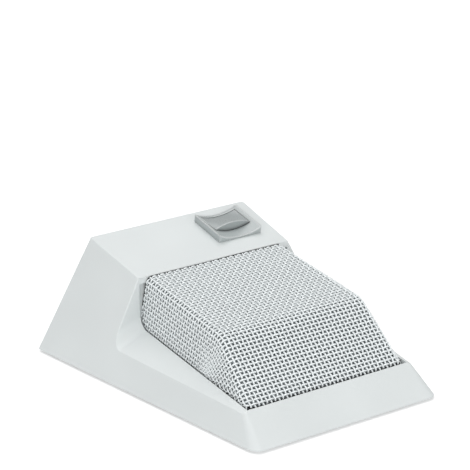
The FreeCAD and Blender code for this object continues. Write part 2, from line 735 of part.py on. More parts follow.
bosses = [cylinder(f"plate_boss_{index}", "dims.boss_radius", "dims.boss_height", x, y,
                   "places.plate_top")
          for index, (x, y) in enumerate(PLATE_SCREWS)]
bosses += [cylinder(f"lug_boss_{index}", "dims.head_radius", "dims.lug_boss_height",
                    lug_x(side, y, "dims.lug_screw_offset"), y,
                    tuck_at(f"({y} + dims.head_radius)"))
           for index, (side, y) in enumerate(LUGS)]
posts = new_body("switch_posts")
pad(posts, circles(posts, "switch_posts_plan", "dims.switch_post_radius",
                   [("-dims.switch_post_offset", "0"), ("dims.switch_post_offset", "0")],
                   shift=("0", "0", "-dims.switch_floor")), "dims.switch_floor")
bosses.append(on_top(posts))
boss_form = shared("boss_form", outer, fused("all_bosses", *bosses))


def opening_half(y, z):
    return (f"(dims.grille_half_width + dims.grille_side_gap"
            f" - places.opening_taper * (({y}) - places.foot_y)"
            f" - places.opening_lean * (({z}) - places.foot_z))")


opening_sides = drafted("opening_sides", "places.plate_top", "(places.shoulder_z + dims.overcut)",
                        "(places.foot_y - dims.grille_end_gap)",
                        "(places.shoulder_y + dims.overcut)", opening_half,
                        "dims.opening_side_lean")


def shoulder_at(z, back="0"):
    return (f"(places.shoulder_y - (places.shoulder_z - ({z})) * tan(dims.shoulder_lean)"
            f" + ({back}))")


opening_front = "(places.foot_y - dims.grille_end_gap)"
under_top = "(places.shoulder_z - dims.wall)"
over_top = "(places.shoulder_z + dims.overcut)"
opening_profile = side_slab("opening_profile", [
    (opening_front, "places.plate_top"),
    (shoulder_at("places.plate_top", "dims.shoulder_recess"), "places.plate_top"),
    (shoulder_at(under_top, "dims.shoulder_recess"), under_top),
    (shoulder_at(under_top), under_top), (shoulder_at(over_top), over_top),
    (opening_front, over_top)], "dims.back_width")
grille_opening = shared("grille_opening", opening_sides, opening_profile)

SKIRT_WIDTH = "(dims.bezel_width - 2 * dims.bezel_lip)"
SKIRT_DEPTH = "(dims.bezel_depth - 2 * dims.bezel_lip)"
button_hole = new_body("button_hole")
pad(button_hole, rectangle(
    button_hole, "button_hole_plan", f"{SKIRT_WIDTH} + 2 * dims.skirt_gap",
    f"{SKIRT_DEPTH} + 2 * dims.skirt_gap"), "2 * (dims.wall + dims.overcut)",
    both_ways=True)
on_top(button_hole)

BUSH_TILT = "dims.back_lean - 90"


def on_back(item):
    """Place an object drawn along Z so that its Z axis points out of the housing's back."""
    return set_down(item, "0", back_at("dims.bush_height"), "dims.bush_height", BUSH_TILT)


bush_hole = new_body("bush_hole")
turned(bush_hole, [
    ("0", "-dims.wall - dims.overcut"), ("dims.bush_neck_radius", "-dims.wall - dims.overcut"),
    ("dims.bush_neck_radius", "-dims.bush_flange_thick"),
    ("dims.bush_flange_radius", "-dims.bush_flange_thick"),
    ("dims.bush_flange_radius", "dims.overcut"), ("0", "dims.overcut")])
on_back(bush_hole)

screw_holes = [cylinder(f"plate_screw_hole_{index}", "dims.screw_radius", "dims.screw_length",
                        x, y, "places.plate_low")
               for index, (x, y) in enumerate(PLATE_SCREWS)]
screw_holes += [cylinder(f"lug_screw_hole_{index}", "dims.screw_radius", "dims.lug_screw_depth",
                         lug_x(side, y, "dims.lug_screw_offset"), y,
                         f"{tuck_at(y)} - dims.frame_thick")
                for index, (side, y) in enumerate(LUGS)]
post_holes = new_body("post_holes")
pad(post_holes, circles(post_holes, "post_holes_plan", "dims.screw_radius",
                        [("-dims.switch_post_offset", "0"), ("dims.switch_post_offset", "0")],
                        shift=("0", "0", "-dims.switch_floor - dims.switch_board_thick")),
    "dims.screw_length")
screw_holes.append(on_top(post_holes))
housing = cut("housing_cut", fused("housing_solid", shell, boss_form),
              fused("housing_openings", grille_opening, button_hole, bush_hole, *screw_holes))
node(housing, "housing")

# Wire grille, foam lining and the frame that carries them.

bend = size("grille_round")
grille = cut("grille_cut", basket("grille_outside", "0", bend),
             basket("grille_inside", "places.grille_thick", bend - spot("grille_thick"),
                    "dims.overcut"))
node(grille, "grille")
foam = cut("foam_cut",
           basket("foam_outside", "places.foam_outside", bend - spot("foam_outside")),
           basket("foam_inside", "places.foam_inside", bend - spot("foam_inside"),
                  "dims.overcut"))
node(foam, "grille_foam")


def sloping_strip(name, low, high, front, back):
    """A slab that follows the grille's lower edge, between two offsets from it."""
    return side_slab(name, [
        (front, f"{tuck_at(front)} + ({low})"), (back, f"{tuck_at(back)} + ({low})"),
        (back, f"{tuck_at(back)} + ({high})"), (front, f"{tuck_at(front)} + ({high})")],
        "dims.back_width")


def frame_ring(name, low, high, outside, inside):
    """A ring under the grille, between two insets from the grille's outer face."""
    front = f"(places.foot_y + ({outside}))"
    back = "places.basket_back"
    strip = sloping_strip(name + "_strip", low, high, front, back)
    block_out = grille_block(name + "_out", outside, front, back)
    block_in = grille_block(name + "_in", inside, f"(places.foot_y + ({inside}))",
                            f"({back} - (({inside}) - ({outside})))")
    return cut(name, shared(name + "_form", strip, block_out), block_in)


flange = frame_ring("flange", "-dims.frame_thick", "0", "0",
                    "places.frame_outside + dims.frame_width")
upstand = shared("upstand", frame_ring(
    "upstand_ring", "0", "dims.frame_upstand", "places.frame_outside",
    "places.frame_outside + dims.frame_thick"), basket(
    "upstand_room", "places.frame_outside", bend - spot("frame_outside"), "dims.overcut"))
lug_strip = sloping_strip("lug_strip", "-dims.frame_thick", "0", "places.foot_y",
                          "places.basket_back")
lug_blocks = []
for index, (side, y) in enumerate(LUGS):
    inner, reach = "(-dims.frame_width)", "dims.lug_reach"
    middle = f"(({lug_x(side, y, inner)} + {lug_x(side, y, reach)}) / 2)"
    lug_blocks.append(block(f"lug_block_{index}", "dims.lug_reach + dims.frame_width",
                            "dims.lug_length", "places.shoulder_z", middle, y))
lugs = shared("lugs", lug_strip, fused("lug_blocks", *lug_blocks))
lug_holes = [cylinder(f"lug_hole_{index}", "dims.screw_radius + dims.screw_gap",
                      "places.shoulder_z", lug_x(side, y, "dims.lug_screw_offset"), y)
             for index, (side, y) in enumerate(LUGS)]
frame = cut("frame_cut", fused("frame_solid", flange, upstand, lugs),
            fused("lug_holes", *lug_holes))
node(frame, "grille_frame")


# Screws.

def screw(name, length="dims.screw_length", upwards=True):
    """A slotted pan head screw; z = 0 is under its head."""
    body = new_body(name)
    sign = "" if upwards else "-"
    other = "-" if upwards else ""
    turned(body, [
        ("0", f"{other}dims.head_height"), ("dims.head_top_radius", f"{other}dims.head_height"),
        ("dims.head_radius", f"{other}dims.head_height / 2"), ("dims.head_radius", "0"),
        ("dims.screw_radius", "0"), ("dims.screw_radius", f"{sign}({length})"),
        ("0", f"{sign}({length})")])
    slot = rectangle(body, name + "_slot", "dims.slot_length", "dims.slot_width",
                     shift=("0", "0", f"{other}dims.head_height"))
    pocket(body, slot, "dims.head_height / 2", reverse=upwards)
    return body


def screws(name, places, length="dims.screw_length", upwards=True):
    """A node of like screws; each place is x, y and the height of the seat under the head."""
    pieces = [set_down(screw(f"{name}_{index}", length, upwards), x, y, z)
              for index, (x, y, z) in enumerate(places)]
    return group(name, pieces)


screws("base_screws", [(x, y, "places.plate_low") for x, y in PLATE_SCREWS])
screws("grille_frame_screws",
       [(lug_x(side, y, "dims.lug_screw_offset"), y,
         f"{tuck_at(y)} - dims.frame_thick - dims.lug_seat") for side, y in LUGS],
       length="dims.lug_screw_depth")

# Base plate, ballast and feet.

BALLAST_Y = "((places.ballast_front + places.ballast_back) / 2)"
BALLAST_SCREWS = [(f"{side} * dims.ballast_screw_offset", BALLAST_Y) for side in (-1, 1)]
STAND_SCREWS = [(f"{side} * dims.stand_screw_offset", "places.capsule_y") for side in (-1, 1)]
BOARD_DEPTH = "(places.board_back - places.board_front)"
BOARD_Y = "((places.board_back + places.board_front) / 2)"
BOARD_SCREWS = [
    (f"{side} * (dims.board_width / 2 - dims.board_screw_inset)",
     f"({BOARD_Y} + {end} * ({BOARD_DEPTH} / 2 - dims.board_screw_inset))")
    for side in (-1, 1) for end in (-1, 1)]


def plate_width(y, z):
    return f"({half_width(y, z, 'dims.wall')} - dims.plate_gap)"


plate_front = f"({front_at('places.plate_top', 'dims.wall')} + dims.plate_gap)"
plate_back = f"({back_at('places.plate_top', 'dims.wall')} - dims.plate_gap)"
plate = new_body("plate")
plate_corners = [(f"{side}{plate_width(y, 'places.plate_top')}", y)
                 for side, y in (("-", plate_front), ("", plate_front),
                                 ("", plate_back), ("-", plate_back))]
pad(plate, outline(plate, "plate_plan", plate_corners, shift=("0", "0", "places.plate_low")),
    "dims.plate_thick")
pocket(plate, circles(plate, "plate_clearance", "dims.screw_radius + dims.screw_gap",
                      PLATE_SCREWS))
pocket(plate, circles(plate, "plate_threads", "dims.screw_radius",
                      BALLAST_SCREWS + STAND_SCREWS + BOARD_SCREWS))
node(plate, "base_plate")

ballast = new_body("ballast_block")
pad(ballast, rectangle(ballast, "ballast_plan", "dims.ballast_width",
                       "places.ballast_back - places.ballast_front", ("0", BALLAST_Y),
                       shift=("0", "0", "places.plate_top")), "dims.ballast_height")
pocket(ballast, circles(ballast, "ballast_holes", "dims.screw_radius + dims.screw_gap",
                        BALLAST_SCREWS))
node(ballast, "ballast_weight")
screws("ballast_screws",
       [(x, y, "(places.plate_top + dims.ballast_height)") for x, y in BALLAST_SCREWS],
       length="dims.ballast_height + dims.plate_thick", upwards=False)

for row, along in (("front", "(-places.half_length + dims.front_foot_setback)"),
                   ("back", "(places.half_length - dims.back_foot_setback)")):
    for word, side in (("left", -1), ("right", 1)):
        foot = new_body(f"foot_{row}_{word}_body")
        turned(foot, [("0", "0"), ("dims.foot_radius - dims.foot_chamfer", "0"),
                      ("dims.foot_radius", "dims.foot_chamfer"),
                      ("dims.foot_radius", "places.plate_low"), ("0", "places.plate_low")])
        offset = f"({plate_width(along, 'places.plate_top')} - dims.foot_radius - dims.foot_inset)"
        set_down(foot, f"{side} * {offset}", along)
        node(foot, f"foot_{row}_{word}")

# Microphone capsule on its stand.

def at_capsule(item):
    """Place an object drawn along Z about the capsule's centre, tilted to face the talker."""
    return set_down(item, "0", "places.capsule_y", "dims.capsule_z", "dims.capsule_tilt")


capsule = new_body("capsule_body")
turned(capsule, [
    ("0", "-dims.capsule_height / 2"), ("dims.capsule_radius", "-dims.capsule_height / 2"),
    ("dims.capsule_radius", "dims.capsule_height / 2"),
    ("dims.capsule_window", "dims.capsule_height / 2"),
    ("dims.capsule_window", "dims.capsule_height / 2 - dims.capsule_recess"),
    ("0", "dims.capsule_height / 2 - dims.capsule_recess")])
at_capsule(capsule)
node(capsule, "capsule")

MOUNT_RADIUS = "(dims.capsule_radius + dims.mount_thick)"
RING_RADIUS = f"({MOUNT_RADIUS} + dims.holder_wall)"
MOUNT_END = "(dims.capsule_height / 2 - dims.mount_margin)"
mount = new_body("mount_body")
turned(mount, [
    ("dims.capsule_radius", f"-{MOUNT_END}"), (MOUNT_RADIUS, f"-{MOUNT_END}"),
    (MOUNT_RADIUS, MOUNT_END), ("dims.capsule_radius", MOUNT_END)])
at_capsule(mount)
node(mount, "capsule_mount")

stand_foot = block("stand_foot", "dims.stand_foot_width", "dims.stand_foot_depth",
                   "dims.stand_foot_thick", "0", "places.capsule_y", "places.plate_top")
uprights = [block(f"stand_upright_{index}", "dims.stand_width", "dims.stand_thick",
                  "dims.capsule_z - places.plate_top",
                  f"{side} * ({MOUNT_RADIUS} + dims.stand_width / 2)", "places.capsule_y",
                  "places.plate_top") for index, side in enumerate((-1, 1))]
ring = new_body("stand_ring")
pad(ring, circles(ring, "stand_ring_plan", RING_RADIUS, [("0", "0")]),
    "dims.holder_length", both_ways=True)
at_capsule(ring)
bore = new_body("stand_bore")
pad(bore, circles(bore, "stand_bore_plan", MOUNT_RADIUS, [("0", "0")]),
    f"2 * {MOUNT_RADIUS}", both_ways=True)
at_capsule(bore)
stand_holes = [cylinder(f"stand_hole_{index}", "dims.screw_radius + dims.screw_gap",
                        "dims.stand_foot_thick", x, y, "places.plate_top")
               for index, (x, y) in enumerate(STAND_SCREWS)]
stand = cut("stand_cut", fused("stand_solid", stand_foot, *uprights, ring),
            fused("stand_cutters", bore, *stand_holes))
node(stand, "capsule_stand")
screws("stand_screws",
       [(x, y, "(places.plate_top + dims.stand_foot_thick)") for x, y in STAND_SCREWS],
       length="dims.stand_foot_thick + dims.plate_thick", upwards=False)

# Main board.

board = new_body("board")
pad(board, rectangle(board, "board_plan", "dims.board_width", BOARD_DEPTH,
                     ("0", BOARD_Y), shift=("0", "0", "places.board_low")), "dims.board_thick")
pocket(board, circles(board, "board_holes", "dims.screw_radius + dims.screw_gap", BOARD_SCREWS))
node(board, "main_board")
screws("board_screws", [(x, y, "places.board_top") for x, y in BOARD_SCREWS],
       length="dims.board_thick + dims.spacer_height + dims.plate_thick", upwards=False)
spacers = []
for index, (x, y) in enumerate(BOARD_SCREWS):
    tube = new_body(f"spacer_{index}")
    turned(tube, [("dims.screw_radius + dims.screw_gap", "0"), ("dims.spacer_radius", "0"),
                  ("dims.spacer_radius", "dims.spacer_height"),
                  ("dims.screw_radius + dims.screw_gap", "dims.spacer_height")])
    spacers.append(set_down(tube, x, y, "places.plate_top"))
group("board_spacers", spacers)

TRANSFORMER = ("(-dims.transformer_offset)", "places.transformer_y")
CORE_WIDTH = "(dims.transformer_width + 2 * dims.core_overhang)"
winding = block("winding", "dims.transformer_width", "dims.transformer_depth",
                "dims.transformer_height", *TRANSFORMER, "places.board_top")
core = block("core", CORE_WIDTH, "dims.core_depth",
             "dims.transformer_height + dims.core_overhang", *TRANSFORMER, "places.board_top")
node(cut("core_cut", core, winding), "transformer_core")
node(winding, "transformer_winding")

group("capacitors", [
    cylinder(f"capacitor_{index}", "dims.capacitor_radius", "dims.capacitor_height",
             f"(dims.capacitor_offset + {index} * dims.capacitor_pitch)",
             "(places.parts_back - dims.capacitor_radius)", "places.board_top")
    for index in range(3)])
group("chips", [
    block(f"chip_{index}", "dims.chip_width", "dims.chip_length", "dims.chip_height",
          f"(-dims.chip_offset - {index} * dims.chip_pitch)", "places.chip_y",
          "places.board_top") for index in range(2)])
TERMINAL_Y = "places.terminal_y"
TERMINAL_X = "(-dims.terminal_offset)"
terminal = block("terminal", "dims.terminal_width", "dims.terminal_depth",
                 "dims.terminal_height", TERMINAL_X, TERMINAL_Y, "places.board_top")
node(terminal, "capsule_terminal")
HEADER_X = (f"(-dims.transformer_offset + {CORE_WIDTH} / 2 + dims.header_gap"
            f" + dims.terminal_depth / 2)")
HEADER_Y = "(places.button_y - dims.header_setback)"
header = block("header", "dims.terminal_depth", "dims.terminal_depth", "dims.terminal_height",
               HEADER_X, HEADER_Y, "places.board_top")
node(header, "switch_header")

# Bezel, cap and switch, drawn in the frame of the sloping top.

BEZEL_CURVE = "(((dims.bezel_width / 2)^2 + dims.bezel_sag^2) / (2 * dims.bezel_sag))"
CAP_SAG = f"({BEZEL_CURVE} - sqrt({BEZEL_CURVE}^2 - (dims.cap_width / 2)^2))"
WELL_DEPTH = "(dims.cap_depth + dims.cap_gap + dims.cap_front_gap)"
WELL_Y = "((dims.cap_depth + dims.cap_gap - dims.cap_front_gap) / 2 - dims.cap_front)"
WELL_WIDTH = "(dims.cap_width + 2 * dims.cap_gap)"
SWITCH_TOP = "(dims.switch_floor - dims.switch_height)"

bezel_body = new_body("bezel_body")
pad(bezel_body, outline(
    bezel_body, "bezel_section",
    [("-dims.bezel_width / 2", "0"), ("dims.bezel_width / 2", "0"),
     ("dims.bezel_width / 2", "dims.bezel_height"),
     ("-dims.bezel_width / 2", "dims.bezel_height")],
    plane="XZ_Plane", arcs={2: "dims.bezel_sag"}), "dims.bezel_depth", both_ways=True)
pad(bezel_body, rectangle(bezel_body, "bezel_skirt", SKIRT_WIDTH, SKIRT_DEPTH,
                          shift=("0", "0", "-dims.skirt_depth")),
    "dims.skirt_depth + (dims.bezel_height - dims.bezel_sag) / 2")
pocket(bezel_body, rectangle(bezel_body, "bezel_well", WELL_WIDTH, WELL_DEPTH, ("0", WELL_Y)))
pocket(bezel_body, rectangle(
    bezel_body, "bezel_switch_room", "dims.switch_side + 2 * dims.switch_gap",
    "dims.switch_side + 2 * dims.switch_gap", ("0", "-dims.nub_front"),
    shift=("0", "0", "-dims.skirt_depth")),
    f"dims.skirt_depth - {SWITCH_TOP} + dims.switch_gap", reverse=True)
upright_corners = [(x * size("bezel_width") / 2, y * size("bezel_depth") / 2,
                    size("bezel_height") / 2) for x in (-1, 1) for y in (-1, 1)]
bezel_block = rounded("bezel_corners", bezel_body, (upright_corners, size("bezel_round")))


def pin_rod(name, radius, length):
    """A rod along the hinge axis."""
    body = new_body(name)
    pad(body, circles(body, name + "_section", radius, [("places.pin_y", "-dims.pin_depth")],
                      plane="YZ_Plane"), length, both_ways=True)
    return body


PIN_LENGTH = f"({WELL_WIDTH} + 2 * dims.pin_seat)"
bezel = cut("bezel_cut", bezel_block, pin_rod("bezel_pin_holes", "dims.pin_radius", PIN_LENGTH))
node(on_top(bezel), "button_bezel")
node(on_top(pin_rod("pin", "dims.pin_radius", PIN_LENGTH)), "button_pin")


def cap_section(body, name, y, height, rise):
    """A section of the cap; rise is positive where its top edge is hollow."""
    half = "dims.cap_width / 2"
    return outline(body, name, [(f"-{half}", "-dims.cap_under"), (half, "-dims.cap_under"),
                                (half, height), (f"-{half}", height)],
                   plane="XZ_Plane", shift=("0", "0", f"-({y})"), arcs={2: rise})


cap_body = new_body("cap_body")
back_height = f"(dims.bezel_height - dims.bezel_sag + {CAP_SAG} - dims.cap_gap)"
loft(cap_body,
     cap_section(cap_body, "cap_front_edge", "-dims.cap_front", "dims.cap_corner_height",
                 "-dims.cap_rise"),
     cap_section(cap_body, "cap_back_edge", "dims.cap_depth - dims.cap_front", back_height,
                 CAP_SAG))
nub = DOC.addObject("Part::Sphere", "nub")
nub.setExpression("Radius", "dims.nub_radius")
set_down(nub, "0", "-dims.nub_front", "-dims.cap_under")
cap = cut("cap_cut", fused("cap_solid", cap_body, nub),
          pin_rod("cap_pin_hole", "dims.pin_radius + dims.pin_fit", PIN_LENGTH))
node(on_top(cap), "button_cap")


switch = new_body("switch_block")
pad(switch, rectangle(switch, "switch_plan", "dims.switch_side", "dims.switch_side",
                      ("0", "-dims.nub_front"), shift=("0", "0", "-dims.switch_floor")),
    "dims.switch_height")
node(on_top(switch), "switch_body")


def dome_form(name, inset):
    """A blunt cone over the switch body, its slope and top moved in by inset."""
    item = DOC.addObject("Part::Cone", name)
    item.setExpression("Radius1", f"dims.dome_foot - ({inset})")
    item.setExpression("Radius2", f"dims.dome_crown - ({inset})")
    item.setExpression("Height", f"{SWITCH_TOP} - dims.cap_under - dims.nub_radius"
                                 f" - dims.dome_gap - ({inset})")
    return set_down(item, "0", "-dims.nub_front", f"-{SWITCH_TOP}")


node(on_top(cut("dome_cut", dome_form("dome_outside", "0"),
                dome_form("dome_inside", "dims.dome_wall"))), "switch_dome")

switch_plate = new_body("switch_plate")
pad(switch_plate, rectangle(
    switch_plate, "switch_plate_plan", "dims.switch_board_width", "dims.switch_board_depth",
    shift=("0", "0", "-dims.switch_floor - dims.switch_board_thick")), "dims.switch_board_thick")
pocket(switch_plate, circles(
    switch_plate, "switch_plate_holes", "dims.screw_radius + dims.screw_gap",
    [("-dims.switch_post_offset", "0"), ("dims.switch_post_offset", "0")]))
node(on_top(switch_plate), "switch_board")
switch_screws = []
for index, side in enumerate((-1, 1)):
    piece = set_down(screw(f"switch_screw_{index}"), f"{side} * dims.switch_post_offset", "0",
                     "-dims.switch_floor - dims.switch_board_thick")
    switch_screws.append(piece)
switch_screw_pair = DOC.addObject("Part::Compound", "switch_screw_pair")
switch_screw_pair.Links = switch_screws
node(on_top(switch_screw_pair), "switch_board_screws")


def tangent_arc(start, corner, end):
    """The arc from start to end that touches both legs of a corner with equal legs."""
    half_turn = (corner - start).getAngle(end - corner) / 2
    radius = (corner - start).Length / math.tan(half_turn)
    towards = (start + end) / 2 - corner
    middle = corner + towards.normalize() * (radius / math.cos(half_turn) - radius)
    return Part.Arc(start, middle, end).toShape()


def quarter_turn(radius, pitch, quarter):
    """Two tangent arcs along a quarter turn of a helix."""
    points, tangents = [], []
    for step in (quarter, quarter + 1):
        angle = step * math.pi / 2
        points.append(Vector(radius * math.cos(angle), radius * math.sin(angle), pitch * step / 4))
        along = Vector(-radius * math.sin(angle), radius * math.cos(angle), pitch / 2 / math.pi)
        tangents.append(along.normalize())
    chord, both = points[1] - points[0], tangents[0] + tangents[1]
    # legs of equal length d: |chord - d * both| = 2 d
    square = 4 - both.dot(both)
    product = chord.dot(both)
    leg = (math.sqrt(product ** 2 + square * chord.dot(chord)) - product) / square
    corners = [points[0] + tangents[0] * leg, points[1] - tangents[1] * leg]
    join = (corners[0] + corners[1]) / 2
    return [tangent_arc(points[0], corners[0], join), tangent_arc(join, corners[1], points[1])]


def coil(name, turns, radius, wire, height):
    """A round wire spring, turns of one even pitch; z = 0 is the centre of its first wire."""
    pitch = (height - wire) / turns
    edges = [edge for quarter in range(round(4 * turns))
             for edge in quarter_turn(radius, pitch, quarter)]
    path = Part.Wire(edges)
    first = Vector(0, radius, pitch / 2 / math.pi)
    section = Part.Wire([Part.makeCircle(wire / 2, Vector(radius, 0, 0), first)])
    feature = DOC.addObject("Part::Feature", name)
    feature.Shape = path.makePipeShell([section], True, False)
    expected = math.pi * wire ** 2 / 4 * path.Length
    print(f"{name} gap {pitch - wire:.2f} volume ratio {feature.Shape.Volume / expected:.4f}")
    return feature


spring_height = number(SWITCH_TOP) - size("cap_under")
spring = coil("spring", size("spring_turns"), size("spring_radius"), size("spring_wire"),
              spring_height)
tilt = Rotation(Vector(1, 0, 0), size("top_fall"))
top_frame = Placement(Vector(number(BUTTON_X), spot("button_y"), spot("button_z")), tilt)
spring_low = -number(SWITCH_TOP) + size("spring_wire") / 2
spring.Placement = top_frame.multiply(
    Placement(Vector(0, -size("nub_front"), spring_low), Rotation()))
node(spring, "return_spring")

# Cord bush in the back.

bush = new_body("bush")
turned(bush, [
    ("dims.cord_radius", "-dims.wall - dims.bush_collar_thick"),
    ("dims.bush_flange_radius", "-dims.wall - dims.bush_collar_thick"),
    ("dims.bush_flange_radius", "-dims.wall"), ("dims.bush_neck_radius", "-dims.wall"),
    ("dims.bush_neck_radius", "-dims.bush_flange_thick"),
    ("dims.bush_flange_radius", "-dims.bush_flange_thick"),
    ("dims.bush_flange_radius", "0"), ("dims.cord_radius", "0")])
node(on_back(bush), "cord_bush")


# Leads inside the housing.

ARC_SHARE = 0.45   # of the shorter run, taken up by the arc at a corner


def lead(name, route, radius):
    """A round lead of straight runs joined by tangent arcs."""
    edges = []
    start = route[0]
    for before, corner, after in zip(route, route[1:], route[2:]):
        inward, outward = corner - before, after - corner
        half_turn = inward.getAngle(outward) / 2
        reach = ARC_SHARE * min(inward.Length, outward.Length)
        print(f"{name} bend radius {reach / math.tan(half_turn):.1f}")
        into = corner - Vector(inward).normalize() * reach
        out = corner + Vector(outward).normalize() * reach
        edges += [Part.LineSegment(start, into).toShape(), tangent_arc(into, corner, out)]
        start = out
    edges.append(Part.LineSegment(start, route[-1]).toShape())
    path = Part.Wire(edges)
    section = Part.Wire([Part.makeCircle(radius, route[0], route[1] - route[0])])
    feature = DOC.addObject("Part::Feature", name + "_tube")
    feature.Shape = path.makePipeShell([section], True, False)
    expected = math.pi * radius ** 2 * path.Length
    print(f"{name} length {path.Length:.1f} volume ratio {feature.Shape.Volume / expected:.4f}")
    return node(feature, name)


capsule_axis = Rotation(Vector(1, 0, 0), size("capsule_tilt")).multVec(Vector(0, 0, 1))
capsule_back = (Vector(0, spot("capsule_y"), size("capsule_z"))
                - capsule_axis * (size("capsule_height") / 2))
terminal_front = Vector(number(TERMINAL_X), number(TERMINAL_Y) - size("terminal_depth") / 2,
                        spot("board_top") + size("terminal_height") / 2)
lead_run = size("lead_run")
lead("capsule_lead", [
    capsule_back, capsule_back - capsule_axis * lead_run,
    Vector(terminal_front.x / 2, (capsule_back.y + terminal_front.y) / 2,
           terminal_front.z - size("lead_dip")),
    terminal_front - Vector(0, lead_run, 0), terminal_front], size("lead_radius"))

header_top = Vector(number(HEADER_X), number(HEADER_Y),
                    spot("board_top") + size("terminal_height"))
board_under = top_frame.multVec(Vector(
    -size("lead_offset"), 0, -size("switch_floor") - size("switch_board_thick")))
top_normal = tilt.multVec(Vector(0, 0, 1))
lead("switch_lead", [
    board_under, board_under - top_normal * lead_run,
    (board_under + header_top) / 2,
    header_top + Vector(0, 0, lead_run), header_top], size("lead_radius"))

# Check and write every piece.

DOC.recompute()
for item in DOC.Objects:
    if "Invalid" in item.State or "Error" in item.State:
        raise ValueError(f"{item.Name} did not compute: {item.State}")
os.makedirs("parts", exist_ok=True)
for name, item in NODES.items():
    shape = item.Shape
    if shape.isNull() or not shape.isValid() or not shape.Solids:
        raise ValueError(name + " has no valid solid")
    shape.exportStep(os.path.join("parts", name + ".step"))
print(len(NODES), "pieces written")
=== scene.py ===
import json
import math

import bmesh
import bpy
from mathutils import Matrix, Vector


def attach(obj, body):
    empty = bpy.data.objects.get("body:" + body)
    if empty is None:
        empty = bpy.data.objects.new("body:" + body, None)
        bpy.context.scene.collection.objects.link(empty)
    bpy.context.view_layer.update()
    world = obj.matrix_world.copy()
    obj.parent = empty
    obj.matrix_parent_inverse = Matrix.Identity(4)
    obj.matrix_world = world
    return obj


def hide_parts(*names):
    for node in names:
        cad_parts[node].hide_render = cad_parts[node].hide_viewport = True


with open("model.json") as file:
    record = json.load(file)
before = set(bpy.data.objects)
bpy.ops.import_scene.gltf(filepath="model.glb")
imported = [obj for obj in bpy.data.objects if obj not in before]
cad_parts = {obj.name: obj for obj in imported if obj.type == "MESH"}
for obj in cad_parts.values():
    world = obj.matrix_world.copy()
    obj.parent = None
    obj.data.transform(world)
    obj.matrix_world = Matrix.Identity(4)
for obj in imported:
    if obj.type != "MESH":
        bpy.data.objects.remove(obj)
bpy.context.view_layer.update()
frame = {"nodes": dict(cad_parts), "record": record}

# Desk microphone: finishes for every piece, the woven grille, then stage, light and camera.

MM = 0.001

# Materials.

NOISE_SPAN = {"From Min": 0.3, "From Max": 0.7}     # the usual reach of a noise texture
EDGE_TURN = {"From Min": 0.99, "From Max": 0.86}    # cosine of rounding, off and on an edge
EDGE_RAYS = 8                                       # rays that look for edges and gaps
FINER = {"roughness": 0.3, "grain_mm": 0.3, "grain_deep": 0.005}    # button and surround


def colour(hex_code):
    """An sRGB hex colour as linear RGBA."""
    channels = [int(hex_code[i:i + 2], 16) / 255 for i in (1, 3, 5)]
    linear = [c / 12.92 if c <= 0.04045 else ((c + 0.055) / 1.055) ** 2.4 for c in channels]
    return (*linear, 1.0)


def fineness(size_mm):
    """A texture's scale, for marks of this size in millimetres."""
    return 1 / (size_mm * MM)


def feed(tree, node, links):
    """Link outputs to a node's sockets."""
    for socket, source in links.items():
        tree.links.new(source, node.inputs[socket])


def add(tree, kind, links=None, values=None, out=0, **settings):
    """Add a node and return one of its outputs.

    Sockets go by name, or by number where a node has two of one name.
    """
    node = tree.nodes.new(kind)
    for name, value in settings.items():
        setattr(node, name, value)
    for socket, value in (values or {}).items():
        node.inputs[socket].default_value = value
    feed(tree, node, links or {})
    return node.outputs[out]


def finish_of(name, base, roughness=0.5, metallic=0.0, ior=1.5, **sockets):
    """A new material with its shader; returns material, tree, shader and Object coordinates."""
    material = bpy.data.materials.new(name)
    material.use_nodes = True
    tree = material.node_tree
    shader = tree.nodes["Principled BSDF"]
    shader.inputs["Base Color"].default_value = colour(base)
    shader.inputs["Roughness"].default_value = roughness
    shader.inputs["Metallic"].default_value = metallic
    if not metallic:
        shader.inputs["IOR"].default_value = ior
    for socket, value in sockets.items():
        shader.inputs[socket.replace("_", " ")].default_value = value
    return material, tree, shader, add(tree, "ShaderNodeTexCoord", out="Object")


def two_tone(tree, pattern, low, high, span=NOISE_SPAN):
    """A colour that goes from low to high as the pattern rises through its span."""
    share = add(tree, "ShaderNodeMapRange", {"Value": pattern}, span)
    return add(tree, "ShaderNodeMix", {"Factor": share}, {"A": colour(low), "B": colour(high)},
               out="Result", data_type="RGBA")


def painted_rim_highlight(tree, plain, rim_highlight, width_mm):
    """A plain colour that goes over to a lighter painted highlight on edges, and the normal of
    rounded edges.
    """
    rounded = add(tree, "ShaderNodeBevel", None, {"Radius": width_mm * MM}, samples=EDGE_RAYS)
    facing = add(tree, "ShaderNodeNewGeometry", out="Normal")
    alike = add(tree, "ShaderNodeVectorMath", {0: rounded, 1: facing}, out="Value",
                operation="DOT_PRODUCT")
    share = add(tree, "ShaderNodeMapRange", {"Value": alike}, EDGE_TURN)
    # Painted highlight: the rim colour comes in where the rounded normal turns away from the flat
    # one.
    shade = add(tree, "ShaderNodeMix", {"Factor": share, "A": plain}, {"B": colour(rim_highlight)},
                out="Result", data_type="RGBA")
    return shade, rounded


def painted_gap_shade(tree, unshaded, dust_and_shade, reach_mm, closed_at, clear_at):
    """A colour that goes over to a darker one, painted shade, where other surfaces stand closer
    than the reach.
    """
    clearance = add(tree, "ShaderNodeAmbientOcclusion", None, {"Distance": reach_mm * MM},
                    out="AO", samples=EDGE_RAYS)
    share = add(tree, "ShaderNodeMapRange", {"Value": clearance},
                {"From Min": closed_at, "From Max": clear_at})
    # Painted shade: the darker colour comes in where other surfaces stand close.
    return add(tree, "ShaderNodeMix", {"Factor": share, "B": unshaded}, {"A": colour(dust_and_shade)},
               out="Result", data_type="RGBA")


